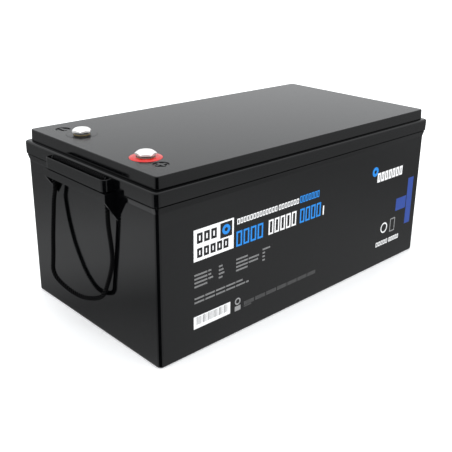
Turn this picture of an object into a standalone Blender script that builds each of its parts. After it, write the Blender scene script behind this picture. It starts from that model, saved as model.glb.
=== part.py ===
"""Deep cycle battery: 25.6 V lithium iron phosphate pack in a 522 x 268 x 220 mm plastic housing.

Metres, +Z up. The origin is the centre of the underside, +X runs along the housing, and the
terminals are at the -X end with the positive one towards -Y.
"""

import math

import bmesh
import bpy
from mathutils import Vector

# ---- driving dimensions ---------------------------------------------------------------------
GAP = 0.0003                          # clearance kept between neighbouring pieces

WALL_X, WALL_Y = 0.2455, 0.1310       # half length and half width of the container's walls
WALL_CORNER = 0.0056
WALL_THICKNESS = 0.0045
FLOOR_EDGE = 0.0030                   # rounding along the container's bottom edge
FLARE_START = 0.1815                  # where the walls flare out to meet the lid
FLARE_OUT = 0.0022
CASE_TOP = 0.1886

RIM_X, RIM_Y = 0.2485, 0.1340         # the lid's rim
RIM_CORNER = 0.0075
RIM_BOTTOM = CASE_TOP + GAP
REBATE_HEIGHT, REBATE_DEPTH = 0.0008, 0.0012
LEDGE_TOP = 0.2060
LEDGE_ROUND_OUT, LEDGE_ROUND_DOWN = 0.0037, 0.0022
DECK_TOP, DECK_BOTTOM = 0.2035, 0.2000
TONGUE_THICKNESS, TONGUE_BOTTOM = 0.0035, 0.1820

COVER_X, COVER_Y = 0.2416, 0.1275     # the top cover
COVER_CORNER = 0.0050
COVER_DRAFT = 0.0005
COVER_BOTTOM = LEDGE_TOP + GAP
COVER_TOP = 0.2200
COVER_WALL = 0.0030
COVER_EDGE = 0.0010
MARK_RADIUS, MARK_DEPTH = 0.0092, 0.0010
MARK_ARM, MARK_HALF_WIDTH = 0.0068, 0.0018

BRACKET_X = 0.2610                    # outer face of the rope brackets at both ends
BAND_Y, BAND_BOTTOM = 0.0630, 0.1790  # the bracket's lower band, part of the container
GUSSET_THICKNESS, GUSSET_BOTTOM = 0.0022, 0.1550
BLOCK_Y, BLOCK_TOP = 0.0605, 0.2034   # the bracket's upper block, part of the lid
BLOCK_CORNER = 0.0065
TROUGH_FLOOR = 0.1997
TROUGH_INNER_X, TROUGH_OUTER_X, TROUGH_Y = 0.2492, 0.2594, 0.0586
ROPE_X, ROPE_Y = 0.2533, 0.0548       # axes of the rope holes
ROPE_HOLE_RADIUS = 0.0033
SLOT_INNER_Y, SLOT_BOTTOM = 0.0475, 0.1920

ROPE_RADIUS = 0.0026
ROPE_TOP = 0.2027                     # centre line of the rope where it lies in the trough
ROPE_BEND = 0.0050
HINGE_Z = BAND_BOTTOM - GAP - ROPE_RADIUS

POST_X, POST_Y = 0.2071, 0.0642       # terminal axes: at -POST_X, +-POST_Y
POST_RADIUS, POST_TOP = 0.0098, 0.2208
THREAD_RADIUS, SHANK_RADIUS = 0.0039, 0.00345
HEAD_RADIUS, HEAD_BOTTOM, HEAD_TOP = 0.0122, 0.2236, 0.2275
HEAD_CHAMFER_RADIUS, HEAD_CHAMFER_DROP = 0.0084, 0.0026
HEAD_TURN = {"positive": 23.8, "negative": 50.4}   # corner of each hexagon, in degrees
SHANK_BOTTOM = 0.2082
COLLAR_RADIUS, COLLAR_BORE, COLLAR_TOP = 0.0184, 0.0103, 0.2210
RECESS_RADIUS, RECESS_DEPTH = 0.0187, 0.0006
WASHER_BOTTOM = 0.2211
FLAT_WASHER_INNER, FLAT_WASHER_OUTER, FLAT_WASHER_THICKNESS = 0.0043, 0.0095, 0.0009
SPRING_WASHER_INNER, SPRING_WASHER_OUTER, SPRING_WASHER_THICKNESS = 0.0044, 0.0074, 0.0009
SPRING_WASHER_RISE = 0.0002           # how far its two ends stand apart

CELLS = 8
CELL_PITCH = 0.0500
CELL_X, CELL_Y, CELL_Z = 0.0490, 0.1600, 0.1180
PAD_BOTTOM, CELL_BOTTOM = WALL_THICKNESS + GAP, 0.0088
CELL_TOP = CELL_BOTTOM + CELL_Z
TAB_Y, TAB_RADIUS, TAB_HEIGHT = 0.0550, 0.0095, 0.0030
TAB_TOP = CELL_TOP + TAB_HEIGHT
BUSBAR_THICKNESS, BUSBAR_WIDTH = 0.0016, 0.0170
STRAP_THICKNESS, STRAP_WIDTH = 0.0008, 0.0120
PACK_HALF_LENGTH, PACK_HALF_WIDTH = 0.2000, 0.0790
BOARD_Z = 0.1370                      # underside of the insulation board over the cells
BOARD_THICKNESS = 0.0015
CIRCUIT_X, CIRCUIT_Y, CIRCUIT_THICKNESS = 0.1700, 0.1000, 0.0016
SPACER_RADIUS, SPACER_HEIGHT = 0.0035, 0.0060
TRANSISTORS, TRANSISTOR_PITCH = 6, 0.0240
SINK_X, SINK_LOW_Y, SINK_HIGH_Y, SINK_BASE = 0.0780, -0.0350, 0.0050, 0.0035
FINS, FIN_PITCH, FIN_THICKNESS, FIN_TOP = 7, 0.0063, 0.0012, 0.0160
LEAD_RADIUS = 0.0040

BLACK = (0.012, 0.013, 0.014)
STEEL = (0.62, 0.62, 0.60)
BRASS = (0.66, 0.49, 0.22)
NICKEL = (0.60, 0.58, 0.54)
ALUMINIUM = (0.70, 0.71, 0.72)
RED = (0.75, 0.03, 0.02)
FOAM = (0.10, 0.10, 0.11)
CELL_BLUE = (0.05, 0.16, 0.42)

ROUND = 32                            # segments of the larger turned pieces


# ---- helpers --------------------------------------------------------------------------------
def clear_scene():
    for obj in list(bpy.data.objects):
        bpy.data.objects.remove(obj, do_unlink=True)


def finish(obj, colour, roughness, metallic=0.0, sharp=35.0):
    """Gives the object its own material and smooth shading with sharp edges."""
    material = bpy.data.materials.new(obj.name)
    material.use_nodes = True
    shader = material.node_tree.nodes["Principled BSDF"]
    shader.inputs["Base Color"].default_value = (*colour, 1.0)
    shader.inputs["Roughness"].default_value = roughness
    shader.inputs["Metallic"].default_value = metallic
    obj.data.materials.append(material)
    if obj.type == "MESH":
        obj.data.shade_smooth()
        obj.data.set_sharp_from_angle(angle=math.radians(sharp))
    return obj


def rounded_rectangle(half_x, half_y, radius, steps=4):
    """Outline with arcs at its corners, counter-clockwise."""
    points = []
    for quarter, (side_x, side_y) in enumerate(((1, 1), (-1, 1), (-1, -1), (1, -1))):
        for step in range(steps + 1):
            angle = math.radians(90.0 * (quarter + step / steps))
            points.append((side_x * (half_x - radius) + radius * math.cos(angle),
                           side_y * (half_y - radius) + radius * math.sin(angle)))
    return points


def circle(radius, segments=ROUND):
    angles = [2 * math.pi * step / segments for step in range(segments)]
    return [(radius * math.cos(angle), radius * math.sin(angle)) for angle in angles]


def loft(name, rings, centre=(0, 0, 0), closed=False):
    """One closed body through (outline, height) rings; capped ends, or a closed loop of rings."""
    shape = bmesh.new()
    loops = [[shape.verts.new((x, y, height)) for x, y in outline] for outline, height in rings]
    count = len(loops[0])
    pairs = list(zip(loops, loops[1:]))
    if closed:
        pairs.append((loops[-1], loops[0]))
    else:
        shape.faces.new(loops[0])
        shape.faces.new(loops[-1])
    for low, high in pairs:
        for i in range(count):
            j = (i + 1) % count
            shape.faces.new((low[i], low[j], high[j], high[i]))
    return from_bmesh(name, shape, centre)


def from_bmesh(name, shape, centre=(0, 0, 0)):
    bmesh.ops.recalc_face_normals(shape, faces=shape.faces)
    mesh = bpy.data.meshes.new(name)
    shape.to_mesh(mesh)
    shape.free()
    obj = bpy.data.objects.new(name, mesh)
    obj.location = centre
    bpy.context.collection.objects.link(obj)
    return obj


def turned(name, profile, centre, closed=False, segments=ROUND):
    """Turned piece from (radius, height) points, along the axis through centre."""
    return loft(name, [(circle(radius, segments), height) for radius, height in profile],
                centre, closed)


def block(name, low, high):
    """Box between two corners."""
    low, high = Vector(low), Vector(high)
    half = (high - low) / 2
    outline = [(half.x, half.y), (-half.x, half.y), (-half.x, -half.y), (half.x, -half.y)]
    centre = (low + high) / 2
    return loft(name, [(outline, -half.z), (outline, half.z)], centre)


def prism(name, outline, start, length):
    """Outline in x and z, extruded along Y."""
    shape = bmesh.new()
    near = [shape.verts.new((x, start, z)) for x, z in outline]
    far = [shape.verts.new((x, start + length, z)) for x, z in outline]
    shape.faces.new(near)
    shape.faces.new(far)
    for i in range(len(outline)):
        j = (i + 1) % len(outline)
        shape.faces.new((near[i], near[j], far[j], far[i]))
    return from_bmesh(name, shape)


def boolean(target, tool, operation):
    """Cuts or joins with a tool that is itself left out of the model."""
    tool.hide_render = True
    tool.display_type = "WIRE"
    modifier = target.modifiers.new(tool.name, "BOOLEAN")
    modifier.operation = operation
    modifier.object = tool


def smooth_route(route, spacing):
    """Evenly spaced points on a Catmull-Rom curve through the route's points."""
    points = [Vector(point) for point in route]
    ends = [2 * points[0] - points[1]] + points + [2 * points[-1] - points[-2]]
    fine = []
    for a, b, c, d in zip(ends, ends[1:], ends[2:], ends[3:]):
        steps = 16
        for step in range(steps):
            t = step / steps
            fine.append(0.5 * (2 * b + (c - a) * t + (2 * a - 5 * b + 4 * c - d) * t ** 2
                               + (3 * b - a - 3 * c + d) * t ** 3))
    fine.append(points[-1])
    lengths = [0.0]
    for a, b in zip(fine, fine[1:]):
        lengths.append(lengths[-1] + (b - a).length)
    count = max(2, round(lengths[-1] / spacing))
    even, index = [], 0
    for step in range(count + 1):
        goal = lengths[-1] * step / count
        while index < len(fine) - 2 and lengths[index + 1] < goal:
            index += 1
        share = (goal - lengths[index]) / max(1e-9, lengths[index + 1] - lengths[index])
        even.append(fine[index].lerp(fine[index + 1], min(1.0, share)))
    return even


def tube(name, points, radius, scales=None, resolution=2):
    """Round tube with filled caps along the points."""
    curve = bpy.data.curves.new(name, "CURVE")
    curve.dimensions = "3D"
    curve.bevel_depth = radius
    curve.bevel_resolution = resolution
    curve.use_fill_caps = True
    spline = curve.splines.new("POLY")
    spline.points.add(len(points) - 1)
    for index, point in enumerate(points):
        spline.points[index].co = (*point, 1.0)
        spline.points[index].radius = scales[index] if scales else 1.0
    obj = bpy.data.objects.new(name, curve)
    bpy.context.collection.objects.link(obj)
    return obj


def empty(name, location):
    obj = bpy.data.objects.new(name, None)
    obj.location = location
    bpy.context.collection.objects.link(obj)
    return obj


def parent_at(child, parent):
    """Parents the child to an unrotated empty and keeps it where it is."""
    child.parent = parent
    child.location = child.location - parent.location


# ---- housing --------------------------------------------------------------------------------
def make_case():
    """Open-topped container with the lower band of a rope bracket at each end."""
    rings = []
    for step in range(4):
        angle = math.radians(30 * step)
        inset = FLOOR_EDGE * (1 - math.sin(angle))
        rings.append((rounded_rectangle(WALL_X - inset, WALL_Y - inset, WALL_CORNER),
                      FLOOR_EDGE * (1 - math.cos(angle))))
    outer = [(0.0, FLARE_START), (FLARE_OUT, CASE_TOP - 0.0002), (FLARE_OUT - 0.0002, CASE_TOP)]
    for grow, height in outer:
        rings.append((rounded_rectangle(WALL_X + grow, WALL_Y + grow, WALL_CORNER + grow), height))
    inner = rounded_rectangle(WALL_X - WALL_THICKNESS, WALL_Y - WALL_THICKNESS, 0.0030)
    rings += [(inner, CASE_TOP), (inner, WALL_THICKNESS)]
    case = loft("case", rings)
    for end in (-1, 1):
        add_band(case, end)
    return finish(case, BLACK, 0.08)


def add_band(case, end):
    """Lower band of the bracket, its two gussets and its two rope holes."""
    inside = WALL_X - 0.0020
    low_x, high_x = sorted((end * inside, end * BRACKET_X))
    band = block(f"band_tool_{end}", (low_x, -BAND_Y, BAND_BOTTOM), (high_x, BAND_Y, CASE_TOP))
    boolean(case, band, "UNION")
    slope = [(end * inside, BAND_BOTTOM + 0.0010), (end * BRACKET_X, BAND_BOTTOM + 0.0010),
             (end * BRACKET_X, BAND_BOTTOM), (end * WALL_X, GUSSET_BOTTOM),
             (end * inside, GUSSET_BOTTOM)]
    for side in (-1, 1):
        start = side * BAND_Y if side < 0 else BAND_Y - GUSSET_THICKNESS
        gusset = prism(f"gusset_tool_{end}_{side}", slope, start, GUSSET_THICKNESS)
        boolean(case, gusset, "UNION")
        hole = turned(f"band_hole_tool_{end}_{side}",
                      [(ROPE_HOLE_RADIUS, BAND_BOTTOM - 0.001), (ROPE_HOLE_RADIUS, CASE_TOP + 0.001)],
                      (end * ROPE_X, side * ROPE_Y, 0), segments=20)
        boolean(case, hole, "DIFFERENCE")


def make_lid():
    """Lid with a tongue into the container, a rim, a deck and the brackets' upper blocks."""
    tongue_x, tongue_y = WALL_X - WALL_THICKNESS - GAP, WALL_Y - WALL_THICKNESS - GAP
    inner_x, inner_y = tongue_x - TONGUE_THICKNESS, tongue_y - TONGUE_THICKNESS
    rebate = REBATE_DEPTH
    rings = [
        (rounded_rectangle(inner_x, inner_y, 0.0015), DECK_BOTTOM),
        (rounded_rectangle(inner_x, inner_y, 0.0015), TONGUE_BOTTOM),
        (rounded_rectangle(tongue_x, tongue_y, 0.0028), TONGUE_BOTTOM),
        (rounded_rectangle(tongue_x, tongue_y, 0.0028), RIM_BOTTOM),
        (rounded_rectangle(RIM_X - rebate, RIM_Y - rebate, RIM_CORNER - rebate), RIM_BOTTOM),
        (rounded_rectangle(RIM_X - rebate, RIM_Y - rebate, RIM_CORNER - rebate),
         RIM_BOTTOM + REBATE_HEIGHT),
        (rounded_rectangle(RIM_X, RIM_Y, RIM_CORNER), RIM_BOTTOM + REBATE_HEIGHT),
    ]
    steps = 4
    for step in range(steps + 1):
        angle = math.radians(90 * step / steps)
        inset = LEDGE_ROUND_OUT * (1 - math.cos(angle))
        rings.append((rounded_rectangle(RIM_X - inset, RIM_Y - inset, RIM_CORNER - inset),
                      LEDGE_TOP - LEDGE_ROUND_DOWN * (1 - math.sin(angle))))
    deck_x, deck_y = COVER_X - 0.0035, COVER_Y - 0.0035
    rings += [(rounded_rectangle(deck_x, deck_y, 0.0020), LEDGE_TOP),
              (rounded_rectangle(deck_x, deck_y, 0.0020), DECK_TOP)]
    lid = loft("lid", rings)
    for end in (-1, 1):
        add_block(lid, end)
    for side in (-1, 1):
        hole = turned(f"deck_hole_tool_{side}",
                      [(POST_RADIUS + GAP, DECK_BOTTOM - 0.001), (POST_RADIUS + GAP, DECK_TOP + 0.001)],
                      (-POST_X, side * POST_Y, 0), segments=24)
        boolean(lid, hole, "DIFFERENCE")
    return finish(lid, BLACK, 0.08)


def add_block(lid, end):
    """Upper block of the bracket with the trough that the rope lies in."""
    inside = RIM_X - 0.0040
    middle, half = end * (inside + BRACKET_X) / 2, (BRACKET_X - inside) / 2
    outline = [(x if end * x > 0 else -end * half, y)
               for x, y in rounded_rectangle(half, BLOCK_Y, BLOCK_CORNER)]
    body = loft(f"block_tool_{end}",
                [(outline, RIM_BOTTOM), (outline, BLOCK_TOP)], (middle, 0, 0))
    boolean(lid, body, "UNION")
    trough_half = (TROUGH_OUTER_X - TROUGH_INNER_X) / 2
    trough = loft(f"trough_tool_{end}",
                  [(rounded_rectangle(trough_half, TROUGH_Y, 0.0045), TROUGH_FLOOR),
                   (rounded_rectangle(trough_half, TROUGH_Y, 0.0045), BLOCK_TOP + 0.002)],
                  (end * (TROUGH_INNER_X + TROUGH_OUTER_X) / 2, 0, 0))
    boolean(lid, trough, "DIFFERENCE")
    slot_half = (ROPE_Y + ROPE_HOLE_RADIUS - SLOT_INNER_Y) / 2
    for side in (-1, 1):
        hole = turned(f"block_hole_tool_{end}_{side}",
                      [(ROPE_HOLE_RADIUS, RIM_BOTTOM - 0.001), (ROPE_HOLE_RADIUS, SLOT_BOTTOM + 0.001)],
                      (end * ROPE_X, side * ROPE_Y, 0), segments=20)
        boolean(lid, hole, "DIFFERENCE")
        outline = rounded_rectangle(ROPE_HOLE_RADIUS + 0.0001, slot_half, 0.0030)
        slot = loft(f"slot_tool_{end}_{side}",
                    [(outline, SLOT_BOTTOM), (outline, TROUGH_FLOOR + 0.001)],
                    (end * ROPE_X, side * (SLOT_INNER_Y + slot_half), 0))
        boolean(lid, slot, "DIFFERENCE")


def make_top_cover():
    """Cap over the lid's deck, with the terminal openings and the engraved polarity marks."""
    inner_x, inner_y = COVER_X - COVER_WALL, COVER_Y - COVER_WALL
    base_x, base_y = COVER_X + COVER_DRAFT, COVER_Y + COVER_DRAFT
    rings = [
        (rounded_rectangle(inner_x, inner_y, 0.0010), COVER_TOP - COVER_WALL),
        (rounded_rectangle(inner_x, inner_y, 0.0010), COVER_BOTTOM),
        (rounded_rectangle(base_x, base_y, COVER_CORNER), COVER_BOTTOM),
    ]
    for step in range(4):
        angle = math.radians(30 * step)
        inset = COVER_EDGE * (1 - math.cos(angle))
        rings.append((rounded_rectangle(COVER_X - inset, COVER_Y - inset, COVER_CORNER - inset),
                      COVER_TOP - COVER_EDGE * (1 - math.sin(angle))))
    cover = loft("top_cover", rings)
    for side in (-1, 1):
        centre = (-POST_X, side * POST_Y, 0)
        hole = turned(f"post_hole_tool_{side}",
                      [(0.0105, COVER_TOP - COVER_WALL - 0.001), (0.0105, COVER_TOP + 0.001)],
                      centre, segments=ROUND)
        recess = turned(f"recess_tool_{side}",
                        [(RECESS_RADIUS, COVER_TOP - RECESS_DEPTH), (RECESS_RADIUS, COVER_TOP + 0.001)],
                        centre)
        boolean(cover, hole, "DIFFERENCE")
        boolean(cover, recess, "DIFFERENCE")
    sink_mark(cover, "plus", (-0.2104, -0.0951), True)
    sink_mark(cover, "minus", (-0.2120, 0.0995), False)
    return finish(cover, BLACK, 0.06)


def sink_mark(cover, name, centre, crossed):
    """Round pocket with a raised bar in it, crossed by a second bar for the positive mark."""
    low, high = COVER_TOP - MARK_DEPTH, COVER_TOP - 0.0001
    pocket = turned(f"{name}_pocket_tool", [(MARK_RADIUS, low), (MARK_RADIUS, COVER_TOP + 0.001)],
                    (*centre, 0), segments=28)
    boolean(cover, pocket, "DIFFERENCE")
    x, y = centre
    bars = [("bar", MARK_HALF_WIDTH, MARK_ARM)]
    if crossed:
        bars.append(("cross_bar", MARK_ARM, MARK_HALF_WIDTH))
    for index, (label, half_x, half_y) in enumerate(bars):
        step = 0.00005 * index
        bar = block(f"{name}_{label}_tool", (x - half_x, y - half_y, low - 0.0005 - step),
                    (x + half_x, y + half_y, high - step))
        boolean(cover, bar, "UNION")


def make_lid_seal():
    """Bead of sealant on the ledge inside the container, under the lid's tongue."""
    outer_x, outer_y = WALL_X - WALL_THICKNESS - 0.0005, WALL_Y - WALL_THICKNESS - 0.0005
    outer = rounded_rectangle(outer_x, outer_y, 0.0028)
    inner = rounded_rectangle(outer_x - 0.0028, outer_y - 0.0028, 0.0015)
    top = TONGUE_BOTTOM - GAP
    seal = loft("lid_seal", [(outer, top - 0.0020), (outer, top), (inner, top), (inner, top - 0.0020)],
                closed=True)
    return finish(seal, (0.05, 0.05, 0.05), 0.8)


def make_label():
    """Printed film on the side of the container."""
    outer = WALL_Y + GAP
    outline = rounded_rectangle(0.2403, 0.0760, 0.0030, 3)
    outline = [(x, z + 0.0900) for x, z in outline]
    film = prism("side_label", outline, -outer - 0.0002, 0.0002)
    return finish(film, BLACK, 0.10)


# ---- rope handles ---------------------------------------------------------------------------
# One handle's route from its hole at +Y down, across and up to its hole at -Y, for the -X end.
HANDLE_ROUTE = [
    (-0.2534, 0.0546, 0.1642), (-0.2536, 0.0569, 0.1561), (-0.2538, 0.0591, 0.1478),
    (-0.2555, 0.0595, 0.1289), (-0.2578, 0.0589, 0.1102), (-0.2595, 0.0578, 0.0979),
    (-0.2612, 0.0561, 0.0858), (-0.2635, 0.0540, 0.0738), (-0.2652, 0.0525, 0.0655),
    (-0.2657, 0.0500, 0.0603), (-0.2655, 0.0468, 0.0559), (-0.2648, 0.0415, 0.0522),
    (-0.2635, 0.0346, 0.0487), (-0.2620, 0.0259, 0.0458), (-0.2605, 0.0174, 0.0436),
    (-0.2588, 0.0069, 0.0426), (-0.2574, -0.0043, 0.0435), (-0.2561, -0.0151, 0.0462),
    (-0.2550, -0.0266, 0.0506), (-0.2538, -0.0339, 0.0550), (-0.2528, -0.0384, 0.0600),
    (-0.2520, -0.0411, 0.0656), (-0.2510, -0.0434, 0.0729), (-0.2501, -0.0462, 0.0808),
    (-0.2493, -0.0485, 0.0889), (-0.2489, -0.0506, 0.0962), (-0.2487, -0.0521, 0.1037),
    (-0.2489, -0.0529, 0.1114), (-0.2495, -0.0534, 0.1194), (-0.2506, -0.0535, 0.1313),
    (-0.2519, -0.0534, 0.1435), (-0.2527, -0.0537, 0.1548), (-0.2533, -0.0547, 0.1640),
]


def make_handles():
    """Per end: the rope's run in the bracket, and the loop that swings under it."""
    for end, name in ((-1, "front"), (1, "rear")):
        make_rope_run(f"{name}_rope_run", end)
        make_rope_loop(f"{name}_rope_loop", end)


def make_rope_run(name, end):
    """Up through one hole, across the trough and down through the other hole."""
    points = [Vector((end * ROPE_X, ROPE_Y, BAND_BOTTOM)),
              Vector((end * ROPE_X, ROPE_Y, 0.1880))]
    for step in range(7):
        angle = math.radians(15 * step)
        points.append(Vector((end * ROPE_X,
                              ROPE_Y - ROPE_BEND * (1 - math.cos(angle)),
                              ROPE_TOP - ROPE_BEND * (1 - math.sin(angle)))))
    points.append(Vector((end * ROPE_X, ROPE_Y / 3, ROPE_TOP)))
    points += [Vector((point.x, -point.y, point.z)) for point in reversed(points)]
    finish(tube(name, points, ROPE_RADIUS), BLACK, 0.7)


def make_rope_loop(name, end):
    """Hanging loop; its domed ends turn about the axis through both holes."""
    turn = -end
    route = [Vector((-ROPE_X, ROPE_Y, HINGE_Z)), Vector((-ROPE_X, ROPE_Y, HINGE_Z - 0.006))]
    route += [Vector(point) for point in HANDLE_ROUTE]
    route += [Vector((-ROPE_X, -ROPE_Y, HINGE_Z - 0.006)), Vector((-ROPE_X, -ROPE_Y, HINGE_Z))]
    points = smooth_route(route, 2.1 * ROPE_RADIUS)
    scales = [1.0] * len(points)
    for angle in (30, 55, 75):
        rise = Vector((0, 0, ROPE_RADIUS * math.sin(math.radians(angle))))
        points = [route[0] + rise] + points + [route[-1] + rise]
        scales = [math.cos(math.radians(angle))] + scales + [math.cos(math.radians(angle))]
    hinge = empty(f"{name}_hinge", (end * ROPE_X, 0, HINGE_Z))
    local = [Vector((turn * (point.x + ROPE_X), turn * point.y, point.z - HINGE_Z))
             for point in points]
    loop = tube(name, local, ROPE_RADIUS, scales)
    loop.parent = hinge
    finish(loop, BLACK, 0.7)


# ---- terminals ------------------------------------------------------------------------------
def make_terminals():
    for sign, name in ((-1, "positive"), (1, "negative")):
        centre = (-POST_X, sign * POST_Y, 0)
        make_insert(f"{name}_insert", centre)
        make_post_seal(f"{name}_post_seal", centre)
        make_collar(f"{name}_collar", centre, RED if name == "positive" else BLACK)
        lift = empty(f"{name}_bolt_lift", (centre[0], centre[1], WASHER_BOTTOM))
        for piece in (make_flat_washer(f"{name}_flat_washer", centre),
                      make_spring_washer(f"{name}_spring_washer", centre),
                      make_bolt(f"{name}_bolt", centre, HEAD_TURN[name])):
            parent_at(piece, lift)


def make_insert(name, centre):
    """Brass insert moulded into the deck, with a blind threaded hole and a tail for the lead."""
    profile = [(0.0050, 0.1900), (0.0060, 0.1908), (0.0060, 0.1960), (0.0130, 0.1960),
               (0.0130, 0.1997), (POST_RADIUS, 0.1997), (POST_RADIUS, POST_TOP - 0.0004),
               (POST_RADIUS - 0.0004, POST_TOP), (THREAD_RADIUS + 0.0004, POST_TOP),
               (THREAD_RADIUS, POST_TOP - 0.0004), (THREAD_RADIUS, 0.2050), (0.0020, 0.2035)]
    return finish(turned(name, profile, centre, segments=24), BRASS, 0.35, 1.0)


def make_post_seal(name, centre):
    inner, outer = POST_RADIUS + GAP, 0.0140
    low, high = DECK_TOP + GAP, DECK_TOP + 0.0033
    profile = [(inner, low), (outer, low), (outer, high - 0.0008), (outer - 0.0008, high),
               (inner, high)]
    return finish(turned(name, profile, centre, closed=True, segments=24), (0.02, 0.02, 0.02), 0.6)


def make_collar(name, centre, colour):
    """Coloured ring around the post, in the cover's recess, with a sloping edge."""
    low = COVER_TOP - RECESS_DEPTH + GAP
    profile = [(COLLAR_BORE, low), (COLLAR_RADIUS, low), (COLLAR_RADIUS, COVER_TOP + 0.0002),
               (COLLAR_RADIUS - 0.0010, COLLAR_TOP), (COLLAR_BORE + 0.0003, COLLAR_TOP),
               (COLLAR_BORE, COLLAR_TOP - 0.0003)]
    return finish(turned(name, profile, centre, closed=True), colour, 0.3)


def make_flat_washer(name, centre):
    low, high = WASHER_BOTTOM, WASHER_BOTTOM + FLAT_WASHER_THICKNESS
    profile = [(FLAT_WASHER_INNER, low), (FLAT_WASHER_OUTER, low), (FLAT_WASHER_OUTER, high),
               (FLAT_WASHER_INNER, high)]
    return finish(turned(name, profile, centre, closed=True, segments=24), STEEL, 0.3, 1.0)


def make_spring_washer(name, centre):
    """Split ring, its two ends lifted apart."""
    low = WASHER_BOTTOM + FLAT_WASHER_THICKNESS + GAP
    first_angle, last_angle, steps = 8, 352, 22
    shape = bmesh.new()
    rings = []
    for step in range(steps + 1):
        share = step / steps
        angle = math.radians(first_angle + (last_angle - first_angle) * share)
        base = low + SPRING_WASHER_RISE * share
        top = base + SPRING_WASHER_THICKNESS
        section = ((SPRING_WASHER_INNER, base), (SPRING_WASHER_OUTER, base),
                   (SPRING_WASHER_OUTER, top), (SPRING_WASHER_INNER, top))
        rings.append([shape.verts.new((radius * math.cos(angle), radius * math.sin(angle), height))
                      for radius, height in section])
    shape.faces.new(rings[0])
    shape.faces.new(rings[-1])
    for low_ring, high_ring in zip(rings, rings[1:]):
        for i in range(4):
            j = (i + 1) % 4
            shape.faces.new((low_ring[i], low_ring[j], high_ring[j], high_ring[i]))
    return finish(from_bmesh(name, shape, centre), STEEL, 0.3, 1.0)


def hexagon(limit, turn, segments=36):
    """Hexagon with its corners HEAD_RADIUS out, cut back to a circle of radius limit."""
    points = []
    for step in range(segments):
        angle = 2 * math.pi * step / segments
        from_flat = (angle + math.pi / 6) % (math.pi / 3) - math.pi / 6
        flat = HEAD_RADIUS * math.cos(math.pi / 6) / math.cos(math.pi / 6 - abs(from_flat))
        radius = min(limit, flat)
        angle += math.radians(turn)
        points.append((radius * math.cos(angle), radius * math.sin(angle)))
    return points


def make_bolt(name, centre, turn):
    """Hexagon head with a chamfered top and a shallow dimple, on a threaded shank."""
    segments = 36
    rings = [(circle(SHANK_RADIUS - 0.0008, segments), SHANK_BOTTOM),
             (circle(SHANK_RADIUS, segments), SHANK_BOTTOM + 0.0008),
             (circle(SHANK_RADIUS, segments), HEAD_BOTTOM),
             (hexagon(HEAD_RADIUS, turn), HEAD_BOTTOM)]
    steps = 4
    for step in range(steps + 1):
        share = step / steps
        limit = HEAD_RADIUS + (HEAD_CHAMFER_RADIUS - HEAD_RADIUS) * share
        rings.append((hexagon(limit, turn), HEAD_TOP - HEAD_CHAMFER_DROP * (1 - share)))
    rings += [(circle(0.0036, segments), HEAD_TOP), (circle(0.0030, segments), HEAD_TOP - 0.0003)]
    return finish(loft(name, rings, centre), NICKEL, 0.25, 1.0)


# ---- cell pack ------------------------------------------------------------------------------
def cell_x(index):
    return (index - (CELLS - 1) / 2) * CELL_PITCH


def make_cells():
    """Prismatic cells with welded tabs; insulation sheets stand between them."""
    for index in range(CELLS):
        name = f"cell_{index + 1}"
        outline = rounded_rectangle(CELL_X / 2, CELL_Y / 2, 0.0025, 2)
        cell = loft(name, [(outline, CELL_BOTTOM), (outline, CELL_TOP)], (cell_x(index), 0, 0))
        for side in (-1, 1):
            tab = turned(f"{name}_tab_tool_{side}",
                         [(TAB_RADIUS, CELL_TOP - 0.001), (TAB_RADIUS, TAB_TOP)],
                         (cell_x(index), side * TAB_Y, 0), segments=12)
            boolean(cell, tab, "UNION")
        finish(cell, CELL_BLUE, 0.4)
    for index in range(CELLS - 1):
        middle = (cell_x(index) + cell_x(index + 1)) / 2
        sheet = block(f"cell_insulation_{index + 1}", (middle - 0.0002, -0.0795, CELL_BOTTOM),
                      (middle + 0.0002, 0.0795, CELL_TOP - 0.0010))
        finish(sheet, (0.85, 0.83, 0.76), 0.6)


def make_pack_frame():
    """End plates, steel straps around them, and the foam that holds the pack in the case."""
    half = CELLS / 2 * CELL_PITCH
    for end, name in ((-1, "front"), (1, "rear")):
        low, high = sorted((end * (half + GAP), end * (half + 0.0060)))
        plate = block(f"{name}_end_plate", (low, -PACK_HALF_WIDTH, CELL_BOTTOM),
                      (high, PACK_HALF_WIDTH, CELL_TOP - 0.004))
        finish(plate, ALUMINIUM, 0.4, 1.0)
    clear_x, clear_y = half + 0.0063, CELL_Y / 2 + GAP
    for name, low in (("lower", 0.0300), ("upper", 0.0930)):
        outer = rounded_rectangle(clear_x + STRAP_THICKNESS, clear_y + STRAP_THICKNESS, 0.0012, 2)
        inner = rounded_rectangle(clear_x, clear_y, 0.0006, 2)
        high = low + STRAP_WIDTH
        strap = loft(f"{name}_strap", [(outer, low), (outer, high), (inner, high), (inner, low)],
                     closed=True)
        finish(strap, STEEL, 0.35, 1.0)
    foam = block("floor_pad", (-PACK_HALF_LENGTH, -PACK_HALF_WIDTH, PAD_BOTTOM),
                 (PACK_HALF_LENGTH, PACK_HALF_WIDTH, CELL_BOTTOM - GAP))
    finish(foam, FOAM, 0.9)
    inner_y, outer_y = clear_y + STRAP_THICKNESS + GAP, WALL_Y - WALL_THICKNESS - GAP
    for side, name in ((-1, "positive_side"), (1, "negative_side")):
        low, high = sorted((side * inner_y, side * outer_y))
        foam = block(f"{name}_foam", (-PACK_HALF_LENGTH, low, PAD_BOTTOM),
                     (PACK_HALF_LENGTH, high, CELL_TOP))
        finish(foam, FOAM, 0.9)


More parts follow.
